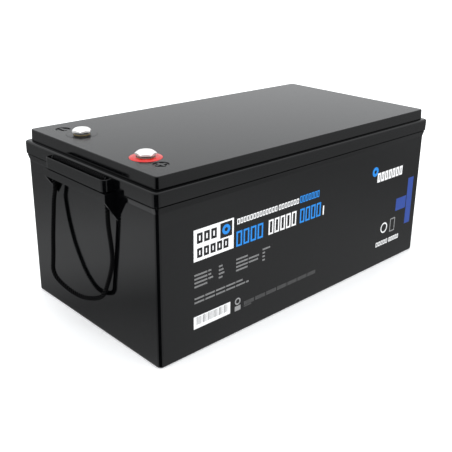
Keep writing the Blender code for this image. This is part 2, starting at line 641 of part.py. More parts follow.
def make_busbars():
    """Series links welded on the tabs, each with a raised relief fold."""
    low = TAB_TOP + GAP
    for index in range(CELLS - 1):
        side = 1 if index % 2 == 0 else -1
        left, right = cell_x(index) - 0.0080, cell_x(index + 1) + 0.0080
        middle, thick, rise = (left + right) / 2, BUSBAR_THICKNESS, 0.0022
        over = [(left, low), (middle - 0.006, low), (middle - 0.003, low + rise),
                (middle + 0.003, low + rise), (middle + 0.006, low), (right, low)]
        outline = over + [(x, z + thick) for x, z in reversed(over)]
        busbar = prism(f"busbar_{index + 1}", outline, side * TAB_Y - BUSBAR_WIDTH / 2, BUSBAR_WIDTH)
        finish(busbar, ALUMINIUM, 0.35, 1.0)


def make_electronics():
    """Insulation board over the cells, with the management board on its spacers."""
    make_insulation_board()
    low = BOARD_Z + BOARD_THICKNESS + SPACER_HEIGHT + GAP
    high = low + CIRCUIT_THICKNESS
    circuit = block("management_board", (-CIRCUIT_X / 2, -CIRCUIT_Y / 2, low),
                    (CIRCUIT_X / 2, CIRCUIT_Y / 2, high))
    for index in range(TRANSISTORS):
        x = TRANSISTOR_PITCH * (index - (TRANSISTORS - 1) / 2)
        part = block(f"transistor_tool_{index}", (x - 0.005, 0.0230, high - 0.0005),
                     (x + 0.005, 0.0320, high + 0.0022))
        boolean(circuit, part, "UNION")
    finish(circuit, (0.02, 0.20, 0.09), 0.5)

    base = high + GAP
    make_heat_sink(base)
    plug = block("sense_connector", (-0.0150, 0.0370, base), (0.0150, 0.0450, base + 0.0085))
    finish(plug, (0.85, 0.84, 0.80), 0.5)
    return high


def make_insulation_board():
    """Sheet with four spacers, notched where the two power leads come up from the end cells."""
    board = block("insulation_board", (-PACK_HALF_LENGTH + 0.001, -PACK_HALF_WIDTH, BOARD_Z),
                  (PACK_HALF_LENGTH - 0.001, PACK_HALF_WIDTH, BOARD_Z + BOARD_THICKNESS))
    top = BOARD_Z + BOARD_THICKNESS + SPACER_HEIGHT
    for side_x in (-1, 1):
        for side_y in (-1, 1):
            spot = (side_x * (CIRCUIT_X / 2 - 0.006), side_y * (CIRCUIT_Y / 2 - 0.006), 0)
            spacer = turned(f"spacer_tool_{side_x}_{side_y}",
                            [(SPACER_RADIUS, BOARD_Z + 0.0005), (SPACER_RADIUS, top)], spot,
                            segments=10)
            boolean(board, spacer, "UNION")
        middle, half = side_x * cell_x(CELLS - 1), BUSBAR_WIDTH / 2
        notch = block(f"board_notch_tool_{side_x}", (middle - half, -TAB_Y - half, BOARD_Z - 0.001),
                      (middle + half, -TAB_Y + half, BOARD_Z + 0.004))
        boolean(board, notch, "DIFFERENCE")
    finish(board, (0.75, 0.72, 0.55), 0.5)


def make_heat_sink(base):
    sink = block("heat_sink", (-SINK_X, SINK_LOW_Y, base), (SINK_X, SINK_HIGH_Y, base + SINK_BASE))
    for index in range(FINS):
        y = SINK_LOW_Y + 0.0010 + FIN_PITCH * index
        fin = block(f"fin_tool_{index}", (-SINK_X + 0.0001, y, base + SINK_BASE - 0.0005),
                    (SINK_X - 0.0001, y + FIN_THICKNESS, base + FIN_TOP))
        boolean(sink, fin, "UNION")
    finish(sink, ALUMINIUM, 0.4, 1.0)


def make_leads(circuit_top):
    """Heavy leads between the pack's ends, the management board and the inserts."""
    last, first = cell_x(CELLS - 1), cell_x(0)
    tail = 0.1900 - GAP
    start = TAB_TOP + GAP
    routes = {
        "positive_lead": [(last, -TAB_Y, start), (last, -TAB_Y, start + 0.012),
                          (last - 0.006, -0.0600, 0.1560), (last - 0.022, -0.0660, 0.1640),
                          (0.1200, -0.0690, 0.1660), (0.0600, -0.0700, 0.1650),
                          (-0.0200, -0.0690, 0.1650), (-0.1100, -0.0670, 0.1660),
                          (-0.1750, -0.0650, 0.1680), (-0.1960, -0.0644, 0.1720),
                          (-0.2050, -0.0642, 0.1790), (-POST_X, -POST_Y, 0.1850),
                          (-POST_X, -POST_Y, tail)],
        "pack_negative_lead": [(first, -TAB_Y, start), (first, -TAB_Y, start + 0.012),
                               (first + 0.004, -0.0510, 0.1570), (first + 0.018, -0.0440, 0.1640),
                               (first + 0.045, -0.0410, 0.1640), (-0.0960, -0.0410, 0.1610),
                               (-0.0830, -0.0420, 0.1590), (-0.0800, -0.0425, 0.1540),
                               (-0.0800, -0.0425, circuit_top + GAP)],
        "negative_lead": [(-0.0780, 0.0400, circuit_top + GAP), (-0.0780, 0.0400, 0.1540),
                          (-0.0830, 0.0420, 0.1620), (-0.1050, 0.0480, 0.1670),
                          (-0.1450, 0.0570, 0.1680), (-0.1800, 0.0620, 0.1695),
                          (-0.1980, 0.0640, 0.1735), (-0.2055, 0.0642, 0.1800),
                          (-POST_X, POST_Y, 0.1855), (-POST_X, POST_Y, tail)],
    }
    for name, route in routes.items():
        colour = RED if name == "positive_lead" else (0.02, 0.02, 0.02)
        points = smooth_route(route, 0.0070)
        finish(tube(name, points, LEAD_RADIUS), colour, 0.5)


def main():
    clear_scene()
    make_case()
    make_lid()
    make_top_cover()
    make_lid_seal()
    make_label()
    make_handles()
    make_terminals()
    make_cells()
    make_pack_frame()
    make_busbars()
    make_leads(make_electronics())


main()
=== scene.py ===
"""Looks for the deep cycle battery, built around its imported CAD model. Metres, +Z up."""

import math

import bmesh
import bpy
from mathutils import Matrix, Vector


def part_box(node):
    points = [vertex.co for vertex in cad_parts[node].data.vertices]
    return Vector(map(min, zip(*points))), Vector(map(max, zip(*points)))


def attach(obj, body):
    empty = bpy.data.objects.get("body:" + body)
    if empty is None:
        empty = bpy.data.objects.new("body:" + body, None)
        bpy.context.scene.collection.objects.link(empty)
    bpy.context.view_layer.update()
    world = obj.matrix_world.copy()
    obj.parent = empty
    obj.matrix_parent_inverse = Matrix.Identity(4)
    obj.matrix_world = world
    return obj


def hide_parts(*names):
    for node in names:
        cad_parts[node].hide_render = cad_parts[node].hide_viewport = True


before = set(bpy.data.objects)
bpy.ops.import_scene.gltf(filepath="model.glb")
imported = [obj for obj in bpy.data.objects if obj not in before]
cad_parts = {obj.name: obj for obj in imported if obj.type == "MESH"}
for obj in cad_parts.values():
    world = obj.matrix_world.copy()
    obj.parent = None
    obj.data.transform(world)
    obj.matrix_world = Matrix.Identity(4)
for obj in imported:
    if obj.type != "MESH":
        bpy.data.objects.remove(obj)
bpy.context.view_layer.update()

GAP = 0.0003

# ---- housing, as the CAD model has it ----
WALL_X, WALL_Y, WALL_CORNER = 0.2455, 0.1310, 0.0056
WALL_THICKNESS = 0.0045
FLOOR_EDGE = 0.0030
FLARE_START, FLARE_OUT = 0.1815, 0.0022
CASE_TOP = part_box("case")[1].z
RIM_X, RIM_Y, RIM_CORNER = 0.2485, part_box("lid")[1].y, 0.0075
RIM_BOTTOM = CASE_TOP + GAP
SEAM_HEIGHT, SEAM_DEPTH = 0.0011, 0.0026    # groove under the rim, a little deeper than in the CAD
LEDGE_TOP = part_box("lid")[1].z
LEDGE_ROUND_OUT, LEDGE_ROUND_DOWN = 0.0037, 0.0022
DECK_TOP, DECK_BOTTOM, DECK_HOLE_RADIUS = 0.2035, 0.2000, 0.0101
TONGUE_THICKNESS, TONGUE_BOTTOM = 0.0035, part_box("lid")[0].z
COVER_X, COVER_Y, COVER_CORNER = 0.2416, 0.1275, 0.0050
COVER_DRAFT, COVER_EDGE, COVER_WALL = 0.0005, 0.0010, 0.0030
COVER_BOTTOM, COVER_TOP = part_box("top_cover")[0].z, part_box("top_cover")[1].z
BRACKET_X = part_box("lid")[1].x
BAND_Y, BAND_BOTTOM = 0.0630, 0.1790
GUSSET_THICKNESS, GUSSET_BOTTOM = 0.0022, 0.1550
BLOCK_Y, BLOCK_TOP, BLOCK_CORNER = 0.0605, 0.2034, 0.0065
TROUGH_FLOOR, TROUGH_Y = 0.1997, 0.0586
TROUGH_INNER_X, TROUGH_OUTER_X = 0.2492, 0.2594
ROPE_X, ROPE_Y, ROPE_HOLE_RADIUS = 0.2533, 0.0548, 0.0033
SLOT_INNER_Y, SLOT_BOTTOM = 0.0475, 0.1920
POST_X, POST_Y = 0.2071, 0.0642
POST_HOLE_RADIUS, RECESS_RADIUS, RECESS_DEPTH = 0.0105, 0.01845, 0.0006
MARK_RADIUS, MARK_DEPTH = 0.0092, 0.0010
PLUS_AT, MINUS_AT = (-0.2104, -0.0951), (-0.2120, 0.0995)
MARK_ARM, MARK_HALF_WIDTH = 0.0068, 0.0018
HEAD_RADIUS, HEAD_HEIGHT = 0.0122, 0.0039
HEAD_CHAMFER_RADIUS, HEAD_CHAMFER_DROP = 0.0084, 0.0026
HEAD_TURN = {"positive": 23.8, "negative": 50.4}
DIMPLE_RADIUS = 0.0036
SHANK_RADIUS, THREAD_DEPTH, THREAD_PITCH = 0.00345, 0.00045, 0.00125
COLLAR_RADIUS, COLLAR_BORE, COLLAR_SLOPE = 0.0184, 0.0103, 0.0039
BLACK_COLLAR_LIFT = 0.00025
HOUSING_COLOUR, GLOSS_IOR = (0.0012, 0.0013, 0.0015), 1.33

# ---- label: areas as (left, right, bottom, top), seen from the front ----
FILM_FACE, PRINT_HEIGHT = -WALL_Y - 0.00008, 0.00003
PANEL, PANEL_SQUARE = (-0.1965, -0.1373, 0.1140, 0.1513), (-0.1580, -0.1397, 0.1310, 0.1492)
RATING_END = (0.0203, 0.0226, 0.1138, 0.1262)
SIGN_SQUARE = (-0.1338, -0.1243, 0.0306, 0.0368)
BAND_UPRIGHT, BAND_TILE = (0.2160, 0.2297, 0.0495, 0.1215), (0.1892, 0.2142, 0.0762, 0.0952)
CARE_FRAME, FRAME_LINE = (0.1785, 0.1905, 0.0462, 0.0668), 0.0014

# rows of blank characters: area, how many, line width
PANEL_UPPER = ((-0.1920, -0.1610, 0.1345, 0.1468), 3, 0.0031)
PANEL_LOWER = ((-0.1918, -0.1433, 0.1177, 0.1290), 5, 0.0030)
TITLE_FIRST = ((-0.1320, -0.0650, 0.1412, 0.1480), 13, 0.0012)
TITLE_SECOND = ((-0.0635, -0.0262, 0.1412, 0.1480), 7, 0.0012)
TITLE_END = ((-0.0250, 0.0125, 0.1408, 0.1498), 7, 0.0013)
RATING_FIRST = ((-0.1330, -0.0872, 0.1138, 0.1326), 4, 0.0023)
RATING_SECOND = ((-0.0800, -0.0290, 0.1138, 0.1326), 5, 0.0021)
RATING_THIRD = ((-0.0240, 0.0180, 0.1138, 0.1326), 4, 0.0023)
CORNER_WORD = ((0.1370, 0.1990, 0.1313, 0.1448), 7, 0.0027)
CODE_FIRST = ((0.1468, 0.1765, 0.0302, 0.0372), 5, 0.0014)
CODE_SECOND = ((0.1785, 0.2040, 0.0302, 0.0372), 5, 0.0014)
BOX_SHARE = 0.80                       # how much of its place a blank character fills

# rings: centre, radius, inner radius
PANEL_RING = ((-0.1489, 0.1403), 0.0060, 0.0024)
SIGN_RING = ((-0.1291, 0.0428), 0.0046, 0.0028)
CORNER_RING = ((0.1310, 0.1484), 0.0068, 0.0026)
CARE_RING = ((0.1635, 0.0570), 0.0080, 0.0060)

# small print, as strokes: width, share of the step that a stroke fills
SMALL_STROKE, FINE_STROKE = (0.0009, 0.62), (0.0008, 0.5)
TABLE_TOP, TABLE_PITCH, TABLE_LINE, TABLE_ROWS = 0.0987, 0.00467, 0.0022, 4
TABLE_COLUMNS = ((-0.1955, (0.0252, 0.0247, 0.0278, 0.0200)), (-0.1595, (0.0065, 0.0078, 0.0095, 0.0055)),
                 (-0.1325, (0.0197, 0.0375, 0.0367, 0.0187)), (-0.0890, (0.0130, 0.0050, 0.0050, 0.0050)))
NOTE_LINES = ((-0.1955, -0.1215, 0.0700), (-0.1955, -0.1115, 0.0650))
TABLE_WORD, NOTE_WORD, FINE_WORD = 14, 11, 12
FINE_PRINT, FINE_PRINT_END = (-0.1185, 0.0130, 0.0337, 0.0387), (-0.1185, -0.1060, 0.0312, 0.0332)
STRIPE_PATCH, STRIPES = (-0.1970, -0.1412, 0.0311, 0.0466), 24
STRIPE_MARGIN, STRIPE_FOOT, STRIPE_HEAD = 0.0035, 0.0045, 0.0012
STRIPE_WIDTH, STRIPE_EXTRA = 0.0004, 0.0005
OVERPRINT, TOP_PRINT = 1.3, 1.6        # print heights of marks that lie on other marks
INKS = {"white": (0.92, 0.92, 0.92), "grey": (0.30, 0.30, 0.30), "dim": (0.10, 0.10, 0.10),
        "blue": (0.010, 0.24, 0.72), "deep_blue": (0.020, 0.06, 0.30), "ink": (0.006, 0.006, 0.007)}

NO_BEVEL = ("cell_insulation", "lead", "seal")

# ---- rope ----
ROPE_RADIUS = 0.0026
ROPE_TOP, ROPE_BEND = 0.2027, 0.0050
HINGE_Z = BAND_BOTTOM - GAP - ROPE_RADIUS
TWIST_PITCH, STRAND_SWELL = 0.0115, 1.10
RIDGE_HIGHLIGHT_GAIN, RIDGE_SHINE = 8.0, 0.16    # painted highlight: how much paler a strand's colour is made along its ridge; and how much shinier the ridge is
HANDLE_ROUTE = [
    (-0.2534, 0.0546, 0.1642), (-0.2536, 0.0569, 0.1561), (-0.2538, 0.0591, 0.1478),
    (-0.2555, 0.0595, 0.1289), (-0.2578, 0.0589, 0.1102), (-0.2595, 0.0578, 0.0979),
    (-0.2612, 0.0561, 0.0858), (-0.2635, 0.0540, 0.0738), (-0.2652, 0.0525, 0.0655),
    (-0.2657, 0.0500, 0.0603), (-0.2655, 0.0468, 0.0559), (-0.2648, 0.0415, 0.0522),
    (-0.2635, 0.0346, 0.0487), (-0.2620, 0.0259, 0.0458), (-0.2605, 0.0174, 0.0436),
    (-0.2588, 0.0069, 0.0426), (-0.2574, -0.0043, 0.0435), (-0.2561, -0.0151, 0.0462),
    (-0.2550, -0.0266, 0.0506), (-0.2538, -0.0339, 0.0550), (-0.2528, -0.0384, 0.0600),
    (-0.2520, -0.0411, 0.0656), (-0.2510, -0.0434, 0.0729), (-0.2501, -0.0462, 0.0808),
    (-0.2493, -0.0485, 0.0889), (-0.2489, -0.0506, 0.0962), (-0.2487, -0.0521, 0.1037),
    (-0.2489, -0.0529, 0.1114), (-0.2495, -0.0534, 0.1194), (-0.2506, -0.0535, 0.1313),
    (-0.2519, -0.0534, 0.1435), (-0.2527, -0.0537, 0.1548), (-0.2533, -0.0547, 0.1640),
]

# ---- camera ----
CAMERA_AT = (-0.64120, -0.65816, 0.43870)
CAMERA_YAW, CAMERA_PITCH, CAMERA_ROLL = 45.494, 19.798, 1.147
CAMERA_LENS, SENSOR = 55.67, 36.0
CAMERA_SHIFT = (-0.03852, -0.06482)

# ---- studio ----
FLOOR_REACH, FLOOR_GLOW = 16.0, 0.24
SOFTBOX_POWER, SOFTBOX_SIZE = 5.0, 1.6
SOFTBOX_AT, SOFTBOX_AIM = (0.5, 0.6, 1.7), (-0.5, -0.6, -1.6)
ROOM_TINT = (0.985, 1.0, 1.015)
TOWARD_CAMERA = (-0.701, -0.713, 0.0)
CARD_DISTANCE, CARD_HALF_ANGLE = 2.2, 32.0
CARD_LOW, CARD_HIGH = -3.0, -0.12
TOWARD_LEFT = (-0.707, 0.707, 0.0)
PANEL_SCALE = 2.0                      # brightness of a full-white stop in the panels' curves
# ramps of brightness: from low, from high, to low, to high
PANEL_TURN = (-0.32, 0.05, 0.50, 1.25)
CEILING_EDGE, CEILING_TOP, CEILING_SHARE = (0.14, 0.32, 1.16, 0.94), (0.50, 0.90, 1.0, 1.9), (-0.08, 0.12)
LEFT_TONES = ((-1.0, 1.7), (-0.575, 1.35), (-0.54, 0.62), (-0.50, 0.53), (-0.47, 0.43), (-0.42, 1.08),
              (-0.385, 1.17), (-0.31, 0.72), (-0.15, 0.84))
RIGHT_TONES = ((-1.0, 0.60), (-0.62, 0.62), (-0.38, 0.88), (-0.30, 0.68), (-0.22, 0.80), (-0.15, 0.90))

CORNER_STEPS = 10
FILLET_STEPS = 8
ROUND = 96


# ---- mesh helpers ----
def link(name, data):
    obj = bpy.data.objects.new(name, data)
    bpy.context.scene.collection.objects.link(obj)
    return obj


def from_bmesh(name, shape):
    bmesh.ops.recalc_face_normals(shape, faces=shape.faces)
    mesh = bpy.data.meshes.new(name)
    shape.to_mesh(mesh)
    shape.free()
    return link(name, mesh)


def rounded_rectangle(half_x, half_y, radius, steps=CORNER_STEPS):
    points = []
    for quarter, (side_x, side_y) in enumerate(((1, 1), (-1, 1), (-1, -1), (1, -1))):
        for step in range(steps + 1):
            angle = math.radians(90.0 * (quarter + step / steps))
            points.append((side_x * (half_x - radius) + radius * math.cos(angle),
                           side_y * (half_y - radius) + radius * math.sin(angle)))
    return points


def circle(radius, segments=ROUND):
    angles = [2 * math.pi * step / segments for step in range(segments)]
    return [(radius * math.cos(angle), radius * math.sin(angle)) for angle in angles]


def skin(shape, rings, closed=False):
    """Faces between neighbouring rings of vertices, with a cap at each end unless closed."""
    pairs = list(zip(rings, rings[1:]))
    if closed:
        pairs.append((rings[-1], rings[0]))
    else:
        shape.faces.new(rings[0])
        shape.faces.new(rings[-1])
    for low, high in pairs:
        for i in range(len(low)):
            j = (i + 1) % len(low)
            shape.faces.new((low[i], low[j], high[j], high[i]))


def loft(name, rings, closed=False, centre=(0, 0)):
    """One closed body through (outline, height) rings."""
    shape = bmesh.new()
    skin(shape, [[shape.verts.new((x + centre[0], y + centre[1], height)) for x, y in outline]
                 for outline, height in rings], closed)
    return from_bmesh(name, shape)


def circles(profile, segments=ROUND):
    return [(circle(radius, segments), height) for radius, height in profile]


def turned(name, profile, centre=(0, 0), closed=False, segments=ROUND):
    return loft(name, circles(profile, segments), closed, centre)


def arc(centre, radius, start, end, steps=FILLET_STEPS, radius_up=None):
    """(inset, height) points of a rounding in the profile's plane, angles in degrees."""
    points = []
    for step in range(steps + 1):
        angle = math.radians(start + (end - start) * step / steps)
        points.append((centre[0] + radius * math.cos(angle),
                       centre[1] + (radius_up or radius) * math.sin(angle)))
    return points


def round_edges(shape, width):
    if width:
        bmesh.ops.bevel(shape, geom=list(shape.edges), offset=width, segments=3, profile=0.5,
                        affect="EDGES")


def block(name, low, high, bevel):
    shape = bmesh.new()
    bmesh.ops.create_cube(shape, size=1.0)
    low, high = Vector(low), Vector(high)
    for vertex in shape.verts:
        vertex.co = Vector([low[i] + (vertex.co[i] + 0.5) * (high[i] - low[i]) for i in range(3)])
    round_edges(shape, bevel)
    return from_bmesh(name, shape)


def prism_y(name, outline, low_y, high_y, bevel):
    """Outline in x and z extruded along Y."""
    shape = bmesh.new()
    rings = [[shape.verts.new((x, y, z)) for x, z in outline] for y in (low_y, high_y)]
    skin(shape, rings)
    round_edges(shape, bevel)
    return from_bmesh(name, shape)


def combine(obj, tools, operation):
    """Joins or cuts with each tool, applies it, and removes the tools."""
    for tool in tools:
        modifier = obj.modifiers.new(tool.name, "BOOLEAN")
        modifier.operation = operation
        modifier.object = tool
    apply_modifiers(obj)
    for tool in tools:
        bpy.data.objects.remove(tool, do_unlink=True)
    return obj


def apply_modifiers(obj):
    bpy.context.view_layer.update()
    graph = bpy.context.evaluated_depsgraph_get()
    mesh = bpy.data.meshes.new_from_object(obj.evaluated_get(graph))
    obj.modifiers.clear()
    obj.data = mesh


def smooth(obj, angle=32.0):
    obj.data.shade_smooth()
    obj.data.set_sharp_from_angle(angle=math.radians(angle))
    modifier = obj.modifiers.new("even_normals", "WEIGHTED_NORMAL")
    modifier.mode = "FACE_AREA"
    modifier.weight = 100
    modifier.keep_sharp = True
    return obj


def turned_piece(name, profile, centre, body, material, slot, closed=True, angle=32.0):
    """Turned piece that stands for the CAD piece of the same name."""
    piece = smooth(turned(f"{name}_piece", profile, centre, closed), angle)
    return place(piece, body, material, name, slot=slot)


def heights(name):
    """Bottom and top of a CAD piece."""
    low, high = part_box(name)
    return low.z, high.z


def place(obj, body, material, *nodes, slot=None):
    obj.data.materials.clear()
    obj.data.materials.append(material)
    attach(obj, body)
    if nodes:
        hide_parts(*nodes)
    return obj


# ---- material helpers ----
def new_material(name, **sockets):
    material = bpy.data.materials.new(name)
    material.use_nodes = True
    shader = material.node_tree.nodes["Principled BSDF"]
    for key, value in sockets.items():
        socket = shader.inputs[key.replace("_", " ").title().replace("Ior", "IOR")]
        socket.default_value = (*value, 1.0) if isinstance(value, tuple) else value
    return material, material.node_tree, shader


def node(tree, kind, **settings):
    made = tree.nodes.new(kind)
    for key, value in settings.items():
        if key in made.inputs:
            made.inputs[key].default_value = value
        else:
            setattr(made, key, value)
    return made


def fed(kind, socket, source, **settings):
    """New node with one input linked to the source."""
    tree = source.id_data
    made = node(tree, kind, **settings)
    tree.links.new(source, made.inputs[socket])
    return made


def object_coordinates(tree, scale=(1, 1, 1)):
    source = tree.nodes.new("ShaderNodeTexCoord").outputs["Object"]
    return fed("ShaderNodeMapping", "Vector", source, Scale=scale).outputs["Vector"]


def component(vector, axis):
    return fed("ShaderNodeSeparateXYZ", "Vector", vector).outputs[axis]


def noise(vector, scale, detail=4.0, roughness=0.5):
    return fed("ShaderNodeTexNoise", "Vector", vector, Scale=scale, Detail=detail,
               Roughness=roughness).outputs["Fac"]


def ramp(value, low, high, to_low=0.0, to_high=1.0):
    limits = {"From Min": low, "From Max": high, "To Min": to_low, "To Max": to_high}
    return fed("ShaderNodeMapRange", "Value", value, **limits).outputs["Result"]


def math_node(operation, first, second):
    """Arithmetic on a socket and a number, or on two sockets."""
    tree = (first if isinstance(second, float) else second).id_data
    made = node(tree, "ShaderNodeMath", operation=operation)
    for index, value in enumerate((first, second)):
        if isinstance(value, float):
            made.inputs[index].default_value = value
        else:
            tree.links.new(value, made.inputs[index])
    return made.outputs["Value"]


def shade(colour, gain, lift=0.0):
    return tuple(min(1.0, channel * gain + lift) for channel in colour)


def blend_colour(shader, factor, first, second):
    """Base colour that goes from the first tone to the second."""
    made = fed("ShaderNodeMix", "Factor", factor, data_type="RGBA")
    made.inputs[6].default_value = (*first, 1.0)
    made.inputs[7].default_value = (*second, 1.0)
    shader.id_data.links.new(made.outputs[2], shader.inputs["Base Color"])


def link_roughness(shader, value):
    shader.id_data.links.new(value, shader.inputs["Roughness"])


def bump(shader, height, distance, strength):
    made = fed("ShaderNodeBump", "Height", height, Strength=strength, Distance=distance)
    shader.id_data.links.new(made.outputs["Normal"], shader.inputs["Normal"])


def gloss_plastic(name, colour, roughness, satin_top=0.0):
    """Moulded gloss plastic: faint flow waviness, fine scratches, duller edges and upper faces."""
    material, tree, shader = new_material(name, ior=GLOSS_IOR)
    vector = object_coordinates(tree)
    cloud = noise(vector, 9.0, 3.0)
    blend_colour(shader, ramp(cloud, 0.35, 0.65), colour, shade(colour, 1.35))
    fine = noise(vector, 420.0, 2.0)
    scratches = noise(object_coordinates(tree, (16, 900, 900)), 1.0, 2.0)
    worn = ramp(scratches, 0.70, 0.85, 0.0, 0.03)
    base = ramp(fine, 0.3, 0.7, roughness * 0.85, roughness * 1.2)
    geometry = node(tree, "ShaderNodeNewGeometry")
    edges = ramp(geometry.outputs["Pointiness"], 0.53, 0.62, 0.0, 0.05)
    rough = math_node("ADD", math_node("ADD", base, worn), edges)
    upward = component(geometry.outputs["Normal"], "Z")
    rough = math_node("ADD", rough, ramp(upward, 0.90, 0.99, 0.0, satin_top))
    link_roughness(shader, rough)
    bump(shader, noise(vector, 28.0, 2.0), 0.00002, 0.25)
    return material


def metal(name, colour, roughness, metallic=1.0):
    """Plated or rolled metal: fine brushed streaks and a cloudy dullness."""
    material, tree, shader = new_material(name, metallic=metallic)
    vector = object_coordinates(tree)
    streaks = noise(object_coordinates(tree, (60, 2400, 2400)), 1.0, 3.0)
    cloud = noise(vector, 90.0, 3.0)
    blend_colour(shader, ramp(cloud, 0.35, 0.65), colour, shade(colour, 1.06))
    base = ramp(streaks, 0.3, 0.7, roughness * 0.85, roughness * 1.15)
    dull = ramp(cloud, 0.4, 0.7, 0.0, 0.06)
    link_roughness(shader, math_node("ADD", base, dull))
    bump(shader, streaks, 0.00001, 0.3)
    return material


def satin_plastic(name, colour, roughness):
    """Moulded satin plastic with a fine grain and lighter rubbed edges."""
    material, tree, shader = new_material(name, ior=1.45)
    vector = object_coordinates(tree)
    edge = node(tree, "ShaderNodeNewGeometry").outputs["Pointiness"]
    blend_colour(shader, ramp(edge, 0.53, 0.62), colour, shade(colour, 1.25, 0.004))
    cloud = noise(vector, 60.0, 3.0)
    link_roughness(shader, ramp(cloud, 0.3, 0.7, roughness * 0.8, roughness * 1.2))
    bump(shader, noise(vector, 1500.0, 2.0), 0.00001, 0.3)
    return material


def soft_rubber(name, colour, roughness):
    """Soft moulded rubber with a dusty bloom."""
    material, tree, shader = new_material(name)
    vector = object_coordinates(tree)
    bloom = ramp(noise(vector, 140.0, 5.0), 0.45, 0.75)
    blend_colour(shader, bloom, colour, shade(colour, 0.8, 0.012))
    link_roughness(shader, ramp(bloom, 0.0, 1.0, roughness, roughness + 0.15))
    bump(shader, noise(vector, 900.0, 3.0), 0.00002, 0.4)
    return material


def foam(name, colour):
    """Closed-cell foam: small rounded cells in the surface."""
    material, tree, shader = new_material(name, roughness=0.95)
    cells = fed("ShaderNodeTexVoronoi", "Vector", object_coordinates(tree), Scale=700.0)
    distance = cells.outputs["Distance"]
    blend_colour(shader, ramp(distance, 0.1, 0.6), shade(colour, 0.6), colour)
    bump(shader, distance, 0.0002, 0.5)
    return material


def wrapped_film(name, colour, roughness):
    """Thin film shrunk over a can, with slight wrinkles."""
    material, tree, shader = new_material(name, ior=1.5)
    wrinkles = noise(object_coordinates(tree, (40, 40, 14)), 1.0, 5.0, 0.6)
    blend_colour(shader, ramp(wrinkles, 0.3, 0.7), shade(colour, 0.75), colour)
    link_roughness(shader, ramp(wrinkles, 0.3, 0.7, roughness * 0.8, roughness * 1.3))
    bump(shader, wrinkles, 0.0003, 0.4)
    return material


def circuit_board(name, colour):
    """Solder mask over copper tracks, seen as slightly raised paler lines."""
    material, tree, shader = new_material(name, ior=1.5)
    tracks = fed("ShaderNodeTexBrick", "Vector", object_coordinates(tree), Scale=90.0)
    tracks.inputs["Mortar Size"].default_value = 0.03
    line = tracks.outputs["Fac"]
    blend_colour(shader, line, colour, shade(colour, 1.8))
    cloud = noise(object_coordinates(tree), 80.0)
    link_roughness(shader, ramp(cloud, 0.3, 0.7, 0.3, 0.45))
    bump(shader, line, 0.00003, 0.6)
    return material


def rope_material(name, colour):
    """Twisted cord: each strand shinier along its ridge and painted paler there as a highlight, with fine
    yarns along it.
    """
    material, tree, shader = new_material(name, roughness=0.58)
    around = component(tree.nodes.new("ShaderNodeTexCoord").outputs["UV"], "X")
    wave = math_node("COSINE", math_node("MULTIPLY", around, 2 * math.pi), 0.0)
    ridge = ramp(wave, 0.45, 1.0)
    yarns = math_node("SINE", math_node("MULTIPLY", around, 14 * math.pi), 0.0)
    # painted highlight: the colour goes from the dark base in the grooves to much paler along each
    # strand's ridge
    blend_colour(shader, ridge, colour, shade(colour, RIDGE_HIGHLIGHT_GAIN))
    tree.links.new(ramp(ridge, 0.0, 1.0, 0.0, RIDGE_SHINE), shader.inputs["Specular IOR Level"])
    bump(shader, yarns, 0.00006, 0.4)
    return material


def printed_ink(name, colour):
    """Screen-printed ink: even, very slightly mottled, under the film's gloss."""
    material, tree, shader = new_material(name, ior=GLOSS_IOR)
    spots = ramp(noise(object_coordinates(tree), 260.0, 3.0), 0.4, 0.7)
    blend_colour(shader, spots, colour, shade(colour, 0.94))
    link_roughness(shader, ramp(spots, 0.0, 1.0, 0.16, 0.24))
    return material


# ---- scene ----
def make_camera():
    data = bpy.data.cameras.new("camera")
    data.lens, data.sensor_width = CAMERA_LENS, SENSOR
    data.shift_x, data.shift_y = CAMERA_SHIFT
    data.clip_start, data.clip_end = 0.01, 50.0
    camera = link("camera", data)
    yaw, pitch, roll = (math.radians(a) for a in (CAMERA_YAW, CAMERA_PITCH, CAMERA_ROLL))
    forward = Vector((math.cos(yaw) * math.cos(pitch), math.sin(yaw) * math.cos(pitch),
                      -math.sin(pitch)))
    level = Vector((math.sin(yaw), -math.cos(yaw), 0))
    up = level.cross(forward)
    right = math.cos(roll) * level + math.sin(roll) * up
    up = right.cross(forward)
    turn = Matrix((right, up, -forward)).transposed().to_4x4()
    camera.matrix_world = Matrix.Translation(CAMERA_AT) @ turn
    bpy.context.scene.camera = camera


def make_studio():
    floor = block("floor", (-FLOOR_REACH, -FLOOR_REACH, -0.02), (FLOOR_REACH, FLOOR_REACH, 0.0), 0.0)
    material, tree, shader = new_material("floor_paper", roughness=0.9, specular_ior_level=0.0,
                                          emission_color=(1.0, 1.0, 1.0),
                                          emission_strength=FLOOR_GLOW)
    tone = ramp(noise(object_coordinates(tree), 3.0), 0.3, 0.7)
    blend_colour(shader, tone, (0.93, 0.93, 0.93), (0.95, 0.95, 0.95))
    floor.data.materials.append(material)
    floor.visible_glossy = False
    make_dark_card()
    make_world()
    lamp = bpy.data.lights.new("overhead_softbox", "AREA")
    lamp.energy, lamp.size = SOFTBOX_POWER, SOFTBOX_SIZE
    softbox = link("overhead_softbox", lamp)
    softbox.location = SOFTBOX_AT
    softbox.rotation_euler = Vector(SOFTBOX_AIM).to_track_quat("-Z", "Y").to_euler()
    softbox.visible_glossy = False
    bpy.context.scene.view_settings.view_transform = "Standard"


